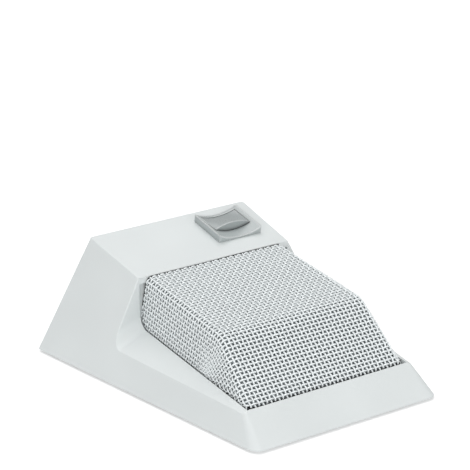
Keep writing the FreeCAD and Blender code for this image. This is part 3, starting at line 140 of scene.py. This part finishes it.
def moulded_abs(name, base, low, high, roughness=0.42, grain_mm=0.35, grain_deep=0.012,
                painted_rims_and_gaps=None):
    """Injection-moulded ABS from a spark-eroded tool: an even satin with a fine leathery grain.

    Its shade drifts a little over 28 mm, as the melt flowed. The grain is drawn about three times
    coarser than the real 0.1 mm, so that it shows. A part can be given painted rims and gaps: the
    width in millimetres and colour of a painted highlight on its rims, and the colour of painted
    shade in its gaps.
    """
    material, tree, shader, place = finish_of(name, base, ior=1.54)
    grain = add(tree, "ShaderNodeTexNoise", {"Vector": place},
                {"Scale": fineness(grain_mm), "Detail": 3.0})
    flow = add(tree, "ShaderNodeTexNoise", {"Vector": place},
               {"Scale": fineness(28.0), "Detail": 1.0})
    shade = two_tone(tree, flow, low, high)
    surface = {"Height": grain}
    if painted_rims_and_gaps:
        width_mm, rim_highlight, gap_shade = painted_rims_and_gaps
        # Painted highlight on the rims.
        shade, surface["Normal"] = painted_rim_highlight(tree, shade, rim_highlight, width_mm)
        # Painted shade in the gaps.
        shade = painted_gap_shade(tree, shade, gap_shade, reach_mm=3.0, closed_at=0.3, clear_at=0.75)
    gloss = add(tree, "ShaderNodeMapRange", {"Value": grain},
                {**NOISE_SPAN, "To Min": roughness - 0.05, "To Max": roughness + 0.07})
    relief = add(tree, "ShaderNodeBump", surface, {"Distance": grain_deep * MM})
    feed(tree, shader, {"Base Color": shade, "Roughness": gloss, "Normal": relief})
    return material


def coated_wire(name):
    """Woven steel wire under a thin light enamel: soft shine, painted shade where wires cross.

    The enamel's unevenness is drawn at 0.9 mm, coarser than the real one, so that it shows.
    """
    material, tree, shader, place = finish_of(name, "#EEF3F4", Coat_Weight=0.4,
                                              Coat_Roughness=0.2)
    fleck = add(tree, "ShaderNodeTexNoise", {"Vector": place},
                {"Scale": fineness(0.9), "Detail": 2.0})
    unshaded = two_tone(tree, fleck, "#F0F5F6", "#F9FEFF")
    # Painted shade where the wires cross and lie close.
    shade = painted_gap_shade(tree, unshaded, "#A6ACAE", reach_mm=1.2, closed_at=0.15, clear_at=0.7)
    gloss = add(tree, "ShaderNodeMapRange", {"Value": fleck},
                {**NOISE_SPAN, "To Min": 0.32, "To Max": 0.46})
    feed(tree, shader, {"Base Color": shade, "Roughness": gloss})
    return material


def open_foam(name):
    """Open-cell polyether foam: matt grey, dark pinholes half a millimetre apart."""
    material, tree, shader, place = finish_of(name, "#9CA3A6", 0.95)
    cells = add(tree, "ShaderNodeTexVoronoi", {"Vector": place}, {"Scale": fineness(0.55)},
                out="Distance")
    shade = two_tone(tree, cells, "#889093", "#ABB3B6", {"From Min": 0.1, "From Max": 0.8})
    relief = add(tree, "ShaderNodeBump", {"Height": cells}, {"Distance": 0.25 * MM})
    feed(tree, shader, {"Base Color": shade, "Normal": relief})
    return material


def zinc_plate(name):
    """Zinc-plated steel: grey, with faint crystal patches and marks of the rolls.

    The marks are drawn coarser than the real ones, so that they show.
    """
    material, tree, shader, place = finish_of(name, "#B4B9BD", metallic=1.0)
    patch = add(tree, "ShaderNodeTexVoronoi", {"Vector": place}, {"Scale": fineness(5.0)},
                out="Color")
    lengthways = add(tree, "ShaderNodeMapping", {"Vector": place}, {"Scale": (6.0, 0.4, 6.0)})
    marks = add(tree, "ShaderNodeTexNoise", {"Vector": lengthways},
                {"Scale": fineness(1.2), "Detail": 3.0})
    shade = add(tree, "ShaderNodeMix", {"Factor": patch},
                {"A": colour("#A6ABB0"), "B": colour("#C4C9CC")}, out="Result",
                data_type="RGBA")
    gloss = add(tree, "ShaderNodeMapRange", {"Value": marks},
                {**NOISE_SPAN, "To Min": 0.28, "To Max": 0.44})
    relief = add(tree, "ShaderNodeBump", {"Height": marks}, {"Distance": 0.004 * MM})
    feed(tree, shader, {"Base Color": shade, "Roughness": gloss, "Normal": relief})
    return material


def moulded_rubber(name):
    """Moulded black rubber: soft sheen, dusty grain, drawn coarser than real so that it shows."""
    material, tree, shader, place = finish_of(name, "#1E1F20", ior=1.52)
    dust_and_shade = add(tree, "ShaderNodeTexNoise", {"Vector": place},
               {"Scale": fineness(0.5), "Detail": 4.0})
    shade = two_tone(tree, dust_and_shade, "#1A1B1C", "#2A2B2C")
    gloss = add(tree, "ShaderNodeMapRange", {"Value": dust_and_shade},
                {**NOISE_SPAN, "To Min": 0.62, "To Max": 0.82})
    relief = add(tree, "ShaderNodeBump", {"Height": dust_and_shade}, {"Distance": 0.02 * MM})
    feed(tree, shader, {"Base Color": shade, "Roughness": gloss, "Normal": relief})
    return material


def drawn_metal(name, base, low, high, line_mm=0.25):
    """Metal drawn through a die: lines along its height that stretch its shine.

    They are drawn coarser than the real ones, so that they show.
    """
    material, tree, shader, place = finish_of(name, base, metallic=1.0)
    upright = add(tree, "ShaderNodeMapping", {"Vector": place}, {"Scale": (1.0, 1.0, 0.08)})
    lines = add(tree, "ShaderNodeTexNoise", {"Vector": upright},
                {"Scale": fineness(line_mm), "Detail": 2.0})
    shade = two_tone(tree, lines, low, high)
    gloss = add(tree, "ShaderNodeMapRange", {"Value": lines},
                {**NOISE_SPAN, "To Min": 0.24, "To Max": 0.4})
    feed(tree, shader, {"Base Color": shade, "Roughness": gloss})
    return material


def sawn_iron(name):
    """Sawn iron bar: dark and dull, with patches of mill scale."""
    material, tree, shader, place = finish_of(name, "#54575A", metallic=1.0)
    scale = add(tree, "ShaderNodeTexNoise", {"Vector": place},
                {"Scale": fineness(2.0), "Detail": 5.0})
    shade = two_tone(tree, scale, "#414447", "#6B6E70")
    gloss = add(tree, "ShaderNodeMapRange", {"Value": scale},
                {**NOISE_SPAN, "To Min": 0.42, "To Max": 0.68})
    relief = add(tree, "ShaderNodeBump", {"Height": scale}, {"Distance": 0.03 * MM})
    feed(tree, shader, {"Base Color": shade, "Roughness": gloss, "Normal": relief})
    return material


def lacquered_board(name):
    """Glass-fibre circuit board under green solder lacquer, tracks showing through."""
    material, tree, shader, place = finish_of(name, "#2B5B3D", 0.3, ior=1.55, Coat_Weight=0.6,
                                              Coat_Roughness=0.12)
    tracks = add(tree, "ShaderNodeTexBrick", {"Vector": place},
                 {"Scale": fineness(9.0), "Mortar Size": 0.05, "Brick Width": 1.3,
                  "Row Height": 0.27, "Color1": (0, 0, 0, 1), "Color2": (0, 0, 0, 1),
                  "Mortar": (1, 1, 1, 1)}, out="Color")
    shade = add(tree, "ShaderNodeMix", {"Factor": tracks},
                {"A": colour("#244F36"), "B": colour("#3F7A52")}, out="Result",
                data_type="RGBA")
    relief = add(tree, "ShaderNodeBump", {"Height": tracks}, {"Distance": 0.035 * MM})
    feed(tree, shader, {"Base Color": shade, "Normal": relief})
    return material


def wound_tape(name):
    """Yellow polyester tape wound round copper, with a darker lap every 5.7 mm."""
    material, tree, shader, place = finish_of(name, "#D2A63C", 0.32, ior=1.6)
    laps = add(tree, "ShaderNodeTexWave", {"Vector": place},
               {"Scale": fineness(18.0), "Distortion": 0.6, "Detail": 1.0}, out="Fac",
               bands_direction="Z", wave_profile="SAW")
    shade = add(tree, "ShaderNodeMix", {"Factor": laps},
                {"A": colour("#B98B2C"), "B": colour("#DDB24A")}, out="Result",
                data_type="RGBA")
    relief = add(tree, "ShaderNodeBump", {"Height": laps}, {"Distance": 0.05 * MM})
    feed(tree, shader, {"Base Color": shade, "Normal": relief})
    return material


def plain_plastic(name, base, low, high, roughness=0.45):
    """Small moulded plastic parts: a dull skin with faint streaks, as of fibres.

    The streaks are drawn coarser than real fibres, so that they show.
    """
    material, tree, shader, place = finish_of(name, base, ior=1.53)
    lengthways = add(tree, "ShaderNodeMapping", {"Vector": place}, {"Scale": (1.0, 0.25, 1.0)})
    streaks = add(tree, "ShaderNodeTexNoise", {"Vector": lengthways},
                  {"Scale": fineness(0.6), "Detail": 3.0})
    shade = two_tone(tree, streaks, low, high)
    gloss = add(tree, "ShaderNodeMapRange", {"Value": streaks},
                {**NOISE_SPAN, "To Min": roughness - 0.07, "To Max": roughness + 0.1})
    relief = add(tree, "ShaderNodeBump", {"Height": streaks}, {"Distance": 0.01 * MM})
    feed(tree, shader, {"Base Color": shade, "Roughness": gloss, "Normal": relief})
    return material


wire_enamel = coated_wire("enamelled steel wire")
rubber = moulded_rubber("moulded black rubber")

SLOT_FINISHES = {
    "housing_plastic": moulded_abs("moulded ABS, light grey", "#E0E5E5", "#DEE3E3", "#E2E7E7"),
    # The surround and the button: a painted highlight on their rims and painted shade in their
    # gaps.
    "bezel_plastic": moulded_abs("moulded ABS, mid grey", "#B1B8B8", "#ADB4B4", "#B5BCBC",
                                 **FINER, painted_rims_and_gaps=(1.3, "#E6EAEA", "#8F9696")),
    "button_plastic": moulded_abs("moulded ABS, button grey", "#A3AAAA", "#9FA5A6", "#A7AEAE",
                                  **FINER, painted_rims_and_gaps=(0.9, "#DADEDE", "#5C6262")),
    "grille_wire": wire_enamel,
    "foam": open_foam("open-cell foam, grey"),
    "black_plastic": plain_plastic("glass-filled nylon, black", "#26282A", "#202224", "#303234"),
    "zinc_steel": zinc_plate("zinc-plated steel"),
    "black_rubber": rubber,
    "ballast_iron": sawn_iron("sawn iron bar"),
    "aluminium": drawn_metal("drawn aluminium", "#C8CACC", "#B8BABC", "#D6D8DA"),
    "board": lacquered_board("circuit board, green lacquer"),
    "spring_steel": drawn_metal("drawn spring wire", "#B8BBBE", "#A6A9AC", "#CACDD0",
                                line_mm=0.12),
    "winding_tape": wound_tape("polyester tape on copper"),
    "lead_sheath": plain_plastic("soft vinyl sheath", "#3A3A3C", "#343436", "#444446",
                                 roughness=0.5),
}

for subpart in frame["record"]["subparts"]:
    node = frame["nodes"][subpart["node"]]
    for material_slot in node.material_slots:
        material_slot.material = SLOT_FINISHES[subpart["material_slot"]]

# Woven wire grille, in millimetres.

WIRE = 0.72             # two sets of crimped wires, woven one over one
CRIMP = 0.28            # a wire's rise and fall; the enamel fills the rest at the crossings
COLUMN_PITCH = 1.72     # between the wires that run front to back
ROW_PITCH = 1.60        # between the wires that run side to side
PER_CROSSING = 4        # points of a wire from one crossing to the next
EDGE_SPARE = 0.2        # the wires that run front to back keep this far from the sheet's edge

FOOT_Y, FOOT_Z = -47.75, 11.1            # outer skin at the grille's foot
SHOULDER_Y, SHOULDER_Z = 23.92, 36.59    # outer skin at the shoulder
BACK_END = 23.42        # the upper face ends here, along the part
HALF_WIDTH = 34.9       # outer skin at the foot
FRONT_FALL = math.radians(43.5)          # the front face and the upper face fall to the front
TOP_FALL = math.radians(6.3)
TAPER = math.tan(math.radians(0.6))      # the sides close in to the back
LEAN = math.tan(math.radians(7.4))       # and to the top
SKIN = WIRE             # outer skin to the middle surface, where the wires lie
SIDE_SKIN = 1.009 * SKIN                 # the same, level through a leaning side wall
FOOT_BEND, KNEE_BEND, SIDE_BEND = 2.1, 9.0, 2.1    # radii of the middle surface

FOOT_DEEP = 4.6         # the front wall goes this far below the foot line
TUCK_DEEP = 2.4         # the side walls go this far, into the black strip of painted shade
TUCK_RISE = 0.082       # slope of the side walls' lower edge, rising to the back
LEAST_FALL = 0.25       # a wire comes at least this steeply to that lower edge
FOOT_FAN = (-2, 6)      # wires turn from level to square with the front face, about the foot
KNEE_FAN = (-14, 12)    # and on to square with the upper face, about the knee


def front_and_top(y):
    """Middle surface of the front face and of the upper face, above a place along the part."""
    front = FOOT_Z + math.tan(FRONT_FALL) * (y - FOOT_Y) - SKIN / math.cos(FRONT_FALL)
    upper = SHOULDER_Z - math.tan(TOP_FALL) * (SHOULDER_Y - y) - SKIN / math.cos(TOP_FALL)
    return front, upper


def find_knee():
    """Where the front face meets the upper face."""
    front, upper = front_and_top(0)
    y = (upper - front) / (math.tan(FRONT_FALL) - math.tan(TOP_FALL))
    return Vector((y, front_and_top(y)[0]))


def bend(start, corner, end, radius):
    """Angle that the way turns at the corner, and what its rounding takes of each leg."""
    angle = (corner - start).angle(end - corner)
    return angle, radius * math.tan(angle / 2)


def turned_length(start, corner, end, radius):
    """Length of start-corner-end with the corner rounded off."""
    angle, cut = bend(start, corner, end, radius)
    return (corner - start).length + (end - corner).length - 2 * cut + radius * angle


def turn(start, corner, end, radius, way):
    """The point this far along start-corner-end with the corner rounded off."""
    angle, cut = bend(start, corner, end, radius)
    ahead, onward = (corner - start).normalized(), (end - corner).normalized()
    straight = (corner - start).length - cut
    if way <= straight:
        return start + ahead * way
    if way >= straight + radius * angle:
        return corner + onward * (cut + way - straight - radius * angle)
    inward = (onward - ahead * ahead.dot(onward)).normalized()
    turned = (way - straight) / radius
    side = radius * (1 - math.cos(turned))
    return start + ahead * (straight + radius * math.sin(turned)) + inward * side


# Corners of the grille's middle line, along and up.
FOOT_POINT = Vector((FOOT_Y + SKIN, front_and_top(FOOT_Y + SKIN)[0]))
START_POINT = FOOT_POINT - Vector((0, FOOT_DEEP))
KNEE_POINT = find_knee()
HALF_WAY = (FOOT_POINT + KNEE_POINT) / 2
BACK_POINT = Vector((BACK_END, front_and_top(BACK_END)[1]))

# Lengths of that line, to half way up the front, to the back end and to the knee.
FIRST_PART = turned_length(START_POINT, FOOT_POINT, HALF_WAY, FOOT_BEND)
WHOLE = FIRST_PART + turned_length(HALF_WAY, KNEE_POINT, BACK_POINT, KNEE_BEND)
KNEE_AT = FIRST_PART + (KNEE_POINT - HALF_WAY).length


def ridge(along):
    """Where the grille's middle line is, this far along it from its lower front edge."""
    if along < FIRST_PART:
        return turn(START_POINT, FOOT_POINT, HALF_WAY, FOOT_BEND, along)
    return turn(HALF_WAY, KNEE_POINT, BACK_POINT, KNEE_BEND, along - FIRST_PART)


def ease(centre, reach, value):
    """From 0 to 1, smoothly, while the value passes the reach about a centre."""
    part = min(max((value - centre - reach[0]) / (reach[1] - reach[0]), 0.0), 1.0)
    return part * part * (3 - 2 * part)


def down_the_side(along):
    """The way that a wire takes down the side walls; it fans out below the knee."""
    square_front, square_top = math.pi / 2 - FRONT_FALL, math.pi / 2 - TOP_FALL
    angle = square_front * ease(FOOT_DEEP, FOOT_FAN, along)
    angle += (square_top - square_front) * ease(KNEE_AT, KNEE_FAN, along)
    return Vector((math.cos(angle), -math.sin(angle)))


def side_wall(y, z):
    """Half width of the middle surface between the leaning side walls."""
    return HALF_WIDTH - TAPER * (y - FOOT_Y) - LEAN * (z - FOOT_Z) - SIDE_SKIN


def section(along):
    """Crown and way down of a wire; its side edge and its end, in across and down that way."""
    top, down = ridge(along), down_the_side(along)
    edge = side_wall(*top)
    slope = -TAPER * down.x - LEAN * down.y
    lowest = FOOT_Z - TUCK_DEEP + TUCK_RISE * (top.x - FOOT_Y)
    deep = (top.y - lowest) / max(-down.y + TUCK_RISE * down.x, LEAST_FALL)
    deep = max(deep, SIDE_BEND)
    return top, down, Vector((edge, 0)), Vector((edge + slope * deep, deep))


def half_length(along):
    """Length of the wire that lies here from side to side, from the middle to its end."""
    edge, end = section(along)[2:]
    return turned_length(Vector((0, 0)), edge, end, SIDE_BEND)


def on_sheet(across, along):
    """The middle surface, across from the centre and along from the front."""
    top, down, edge, end = section(along)
    out, deep = turn(Vector((0, 0)), edge, end, SIDE_BEND, abs(across))
    return Vector((math.copysign(out, across), top.x + down.x * deep, top.y + down.y * deep))


def off_sheet(across, along, lift):
    """A point lifted off the middle surface."""
    step = 0.15
    sideways = on_sheet(across + step, along) - on_sheet(across - step, along)
    backwards = on_sheet(across, along + step) - on_sheet(across, along - step)
    return on_sheet(across, along) + sideways.cross(backwards).normalized() * lift


ROW_GAPS = int((WHOLE - WIRE / 2) / ROW_PITCH)
FIRST_ROW = WHOLE - WIRE / 2 - ROW_GAPS * ROW_PITCH    # so that the last row is at the back end
SIDE_COLUMNS = int((half_length(WHOLE) - EDGE_SPARE) / COLUMN_PITCH)    # each side of the middle


def crimp(across, along):
    """Height of the front-to-back wire over the middle surface; the other wire mirrors it."""
    column, row = across / COLUMN_PITCH, (along - FIRST_ROW) / ROW_PITCH
    return CRIMP * math.cos(math.pi * column) * math.cos(math.pi * row)


def warp_line(across):
    """A wire that runs front to back, where the sheet is wide enough for it."""
    line = []
    for step in range(ROW_GAPS * PER_CROSSING + 1):
        along = FIRST_ROW + step * ROW_PITCH / PER_CROSSING
        if abs(across) <= half_length(along) - EDGE_SPARE:
            line.append(off_sheet(across, along, crimp(across, along)))
    return line


def weft_line(along):
    """A wire that runs from side to side."""
    reach = int(half_length(along) / COLUMN_PITCH * PER_CROSSING)
    places = [step * COLUMN_PITCH / PER_CROSSING for step in range(-reach, reach + 1)]
    return [off_sheet(across, along, -crimp(across, along)) for across in places]


def new_piece(name, mesh, material):
    """An object at the origin for a finished mesh."""
    piece = bpy.data.objects.new(name, mesh)
    bpy.context.scene.collection.objects.link(piece)
    mesh.materials.append(material)
    return piece


def tubes(name, radius, lines, material):
    """Round wires along the given lines, as one mesh."""
    curve = bpy.data.curves.new(name, "CURVE")
    curve.dimensions = "3D"
    curve.bevel_depth = radius * MM
    curve.bevel_resolution = 1
    curve.use_fill_caps = True
    for line in lines:
        spline = curve.splines.new("POLY")
        spline.points.add(len(line) - 1)
        for point, place in zip(spline.points, line):
            point.co = (*(place * MM), 1.0)
    drawn = bpy.data.objects.new(name + "_drawn", curve)
    mesh = bpy.data.meshes.new_from_object(drawn)
    mesh.name = name
    mesh.shade_smooth()
    bpy.data.objects.remove(drawn)
    bpy.data.curves.remove(curve)
    return new_piece(name, mesh, material)


columns = [0.0] + [side * column * COLUMN_PITCH for column in range(1, SIDE_COLUMNS + 1)
                   for side in (1, -1)]
rows = [FIRST_ROW + row * ROW_PITCH for row in range(ROW_GAPS + 1)]
warp = tubes("grille_warp", WIRE / 2, [warp_line(across) for across in columns], wire_enamel)
weft = tubes("grille_weft", WIRE / 2, [weft_line(along) for along in rows], wire_enamel)
for wires in (warp, weft):
    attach(wires, "base")
    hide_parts("grille")

# The wires end in black strips that are painted shade: a channel along the foot for the dark gap
# there, and a bead along the back for the dark line at the shoulder edge.

CHANNEL_HIGH = 3.0
CHANNEL_WALL = 2 * WIRE
CHANNEL_TOP = 0.45      # its upper edge below the foot line
CHANNEL_PROUD = 0.1     # outside the wires
CHANNEL_CORNER = 4.2    # radius of its upright corners
CORNER_STEPS = 6
BEAD_RADIUS = 0.5
BEAD_STEP = 0.5         # between points of the bead


def channel_path():
    """Upper edge of the channel, from the back left corner round the front to the back right."""
    turns = [math.radians(90 * step / CORNER_STEPS) for step in range(CORNER_STEPS + 1)]
    backs = [BACK_END] + [FOOT_Y + CHANNEL_CORNER * (1 - math.sin(turned)) for turned in turns]
    inwards = [0] + [CHANNEL_CORNER * (1 - math.cos(turned)) for turned in turns]
    left = []
    for y, inward in zip(backs, inwards):
        z = FOOT_Z - CHANNEL_TOP + TUCK_RISE * (y - FOOT_Y)
        x = HALF_WIDTH - TAPER * (y - FOOT_Y) - LEAN * (z - FOOT_Z) + CHANNEL_PROUD
        forward = CHANNEL_PROUD if inward else 0
        left.append(Vector((inward - x, y - forward, z)))
    return left + [Vector((-x, y, z)) for x, y, z in reversed(left)]


def settle(items, place):
    """Sort vertices or faces by place, because solidify leaves their order to chance."""
    ranks = {item: rank for rank, item in enumerate(sorted(items, key=place))}
    items.sort(key=ranks.get)


def foot_channel(name):
    """A strip drawn down from its upper edge, faces outwards, that gets its wall inwards."""
    strip = bmesh.new()
    upper = [strip.verts.new(place * MM) for place in channel_path()]
    edges = [strip.edges.new(pair) for pair in zip(upper, upper[1:])]
    drawn = bmesh.ops.extrude_edge_only(strip, edges=edges)["geom"]
    lower = [item for item in drawn if isinstance(item, bmesh.types.BMVert)]
    bmesh.ops.translate(strip, verts=lower, vec=(0, 0, -CHANNEL_HIGH * MM))
    bmesh.ops.recalc_face_normals(strip, faces=strip.faces[:])
    if sum(face.normal.y for face in strip.faces) > 0:
        bmesh.ops.reverse_faces(strip, faces=strip.faces[:])
    bmesh.ops.solidify(strip, geom=strip.faces[:], thickness=CHANNEL_WALL * MM)
    settle(strip.verts, lambda vert: vert.co[:])
    settle(strip.faces, lambda face: face.calc_center_median()[:])
    mesh = bpy.data.meshes.new(name)
    strip.to_mesh(mesh)
    strip.free()
    return new_piece(name, mesh, rubber)


bead_reach = int(half_length(WHOLE) / BEAD_STEP)
bead_line = [off_sheet(step * BEAD_STEP, WHOLE, 0) for step in range(-bead_reach, bead_reach + 1)]
bead = tubes("grille_back_shade_bead", BEAD_RADIUS, [bead_line], rubber)
# Both strips are painted shade, black where the gaps are only dark.
for shade_strip in (foot_channel("grille_foot_shade_strip"), bead):
    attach(shade_strip, "base")
    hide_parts("grille")

# Stage: a white sweep that reads as plain white paper and keeps the part's shadow.

TABLE_HALF = 4.0        # metres
TABLE_LIFT = 0.3        # glow that only the camera and mirrors see
SKY_LIGHT = 0.42
SKY_SEEN = 1.0


def white_paper(name):
    """Matt white paper, lifted to plain white for the camera and for mirrors."""
    material, tree, shader = finish_of(name, "#F4F4F4", 0.9)[:3]
    seen = add(tree, "ShaderNodeLightPath", out="Is Camera Ray")
    mirrored = add(tree, "ShaderNodeLightPath", out="Is Glossy Ray")
    either = add(tree, "ShaderNodeMath", {0: seen, 1: mirrored}, operation="MAXIMUM")
    lift = add(tree, "ShaderNodeMix", {"Factor": either}, {"A": 0.0, "B": TABLE_LIFT})
    glow = add(tree, "ShaderNodeEmission", {"Strength": lift})
    both = add(tree, "ShaderNodeAddShader", {0: shader.outputs["BSDF"], 1: glow})
    feed(tree, tree.nodes["Material Output"], {"Surface": both})
    return material


paper = bmesh.new()
bmesh.ops.create_grid(paper, x_segments=1, y_segments=1, size=TABLE_HALF)
table_mesh = bpy.data.meshes.new("table")
paper.to_mesh(table_mesh)
paper.free()
table = new_piece("table", table_mesh, white_paper("white paper sweep"))

world = bpy.data.worlds.new("soft white studio")
bpy.context.scene.world = world
world.use_nodes = True
sky = world.node_tree
backdrop = sky.nodes["Background"]
backdrop.inputs["Color"].default_value = (1.0, 1.0, 1.0, 1.0)
sky_seen = add(sky, "ShaderNodeLightPath", out="Is Camera Ray")
strength = add(sky, "ShaderNodeMix", {"Factor": sky_seen}, {"A": SKY_LIGHT, "B": SKY_SEEN})
feed(sky, backdrop, {"Strength": strength})

# Light: four square soft boxes that point at the middle of the part, in metres and watts.

MIDDLE = Vector((0, 0, 0.02))
SOFT_BOXES = [
    ("low soft box on the left", (-0.8, -0.7, 0.35), 0.8, 3.7),
    ("soft box overhead", (0.0, 0.1, 1.3), 1.2, 5.0),
    ("low soft box in front", (0.1, -1.2, 0.3), 0.8, 3.3),
    ("soft box over the back", (0.2, 0.7, 1.1), 1.0, 4.3),
]
for name, place, size, power in SOFT_BOXES:
    light = bpy.data.lights.new(name, "AREA")
    light.size = size
    light.energy = power
    box = bpy.data.objects.new(name, light)
    bpy.context.scene.collection.objects.link(box)
    box.location = place
    box.rotation_euler = (MIDDLE - Vector(place)).to_track_quat("-Z", "Y").to_euler()

# Camera: it stands at the photograph's angle, lengths in metres, millimetres of film or pixels.

AZIMUTH, HEIGHT_ANGLE = math.radians(-35.013), math.radians(23.314)
DISTANCE = 0.7746
TARGET = Vector((0, -0.00045, 0.016))
LENS_PX, CENTRE_PX, FRAME_PX = 2083.4, (251.84, 329.71), 470
FILM_MM = 36.0

back_to_eye = Vector((math.sin(AZIMUTH) * math.cos(HEIGHT_ANGLE),
                      -math.cos(AZIMUTH) * math.cos(HEIGHT_ANGLE), math.sin(HEIGHT_ANGLE)))
camera = bpy.data.objects.new("camera", bpy.data.cameras.new("camera"))
bpy.context.scene.collection.objects.link(camera)
camera.location = TARGET + back_to_eye * DISTANCE
camera.rotation_euler = (-back_to_eye).to_track_quat("-Z", "Y").to_euler()
camera.data.sensor_width = FILM_MM
camera.data.lens = LENS_PX / FRAME_PX * FILM_MM
camera.data.shift_x = (FRAME_PX / 2 - CENTRE_PX[0]) / FRAME_PX
camera.data.shift_y = (CENTRE_PX[1] - FRAME_PX / 2) / FRAME_PX
camera.data.clip_start = 0.01
bpy.context.scene.camera = camera
bpy.context.scene.view_settings.view_transform = "Standard"
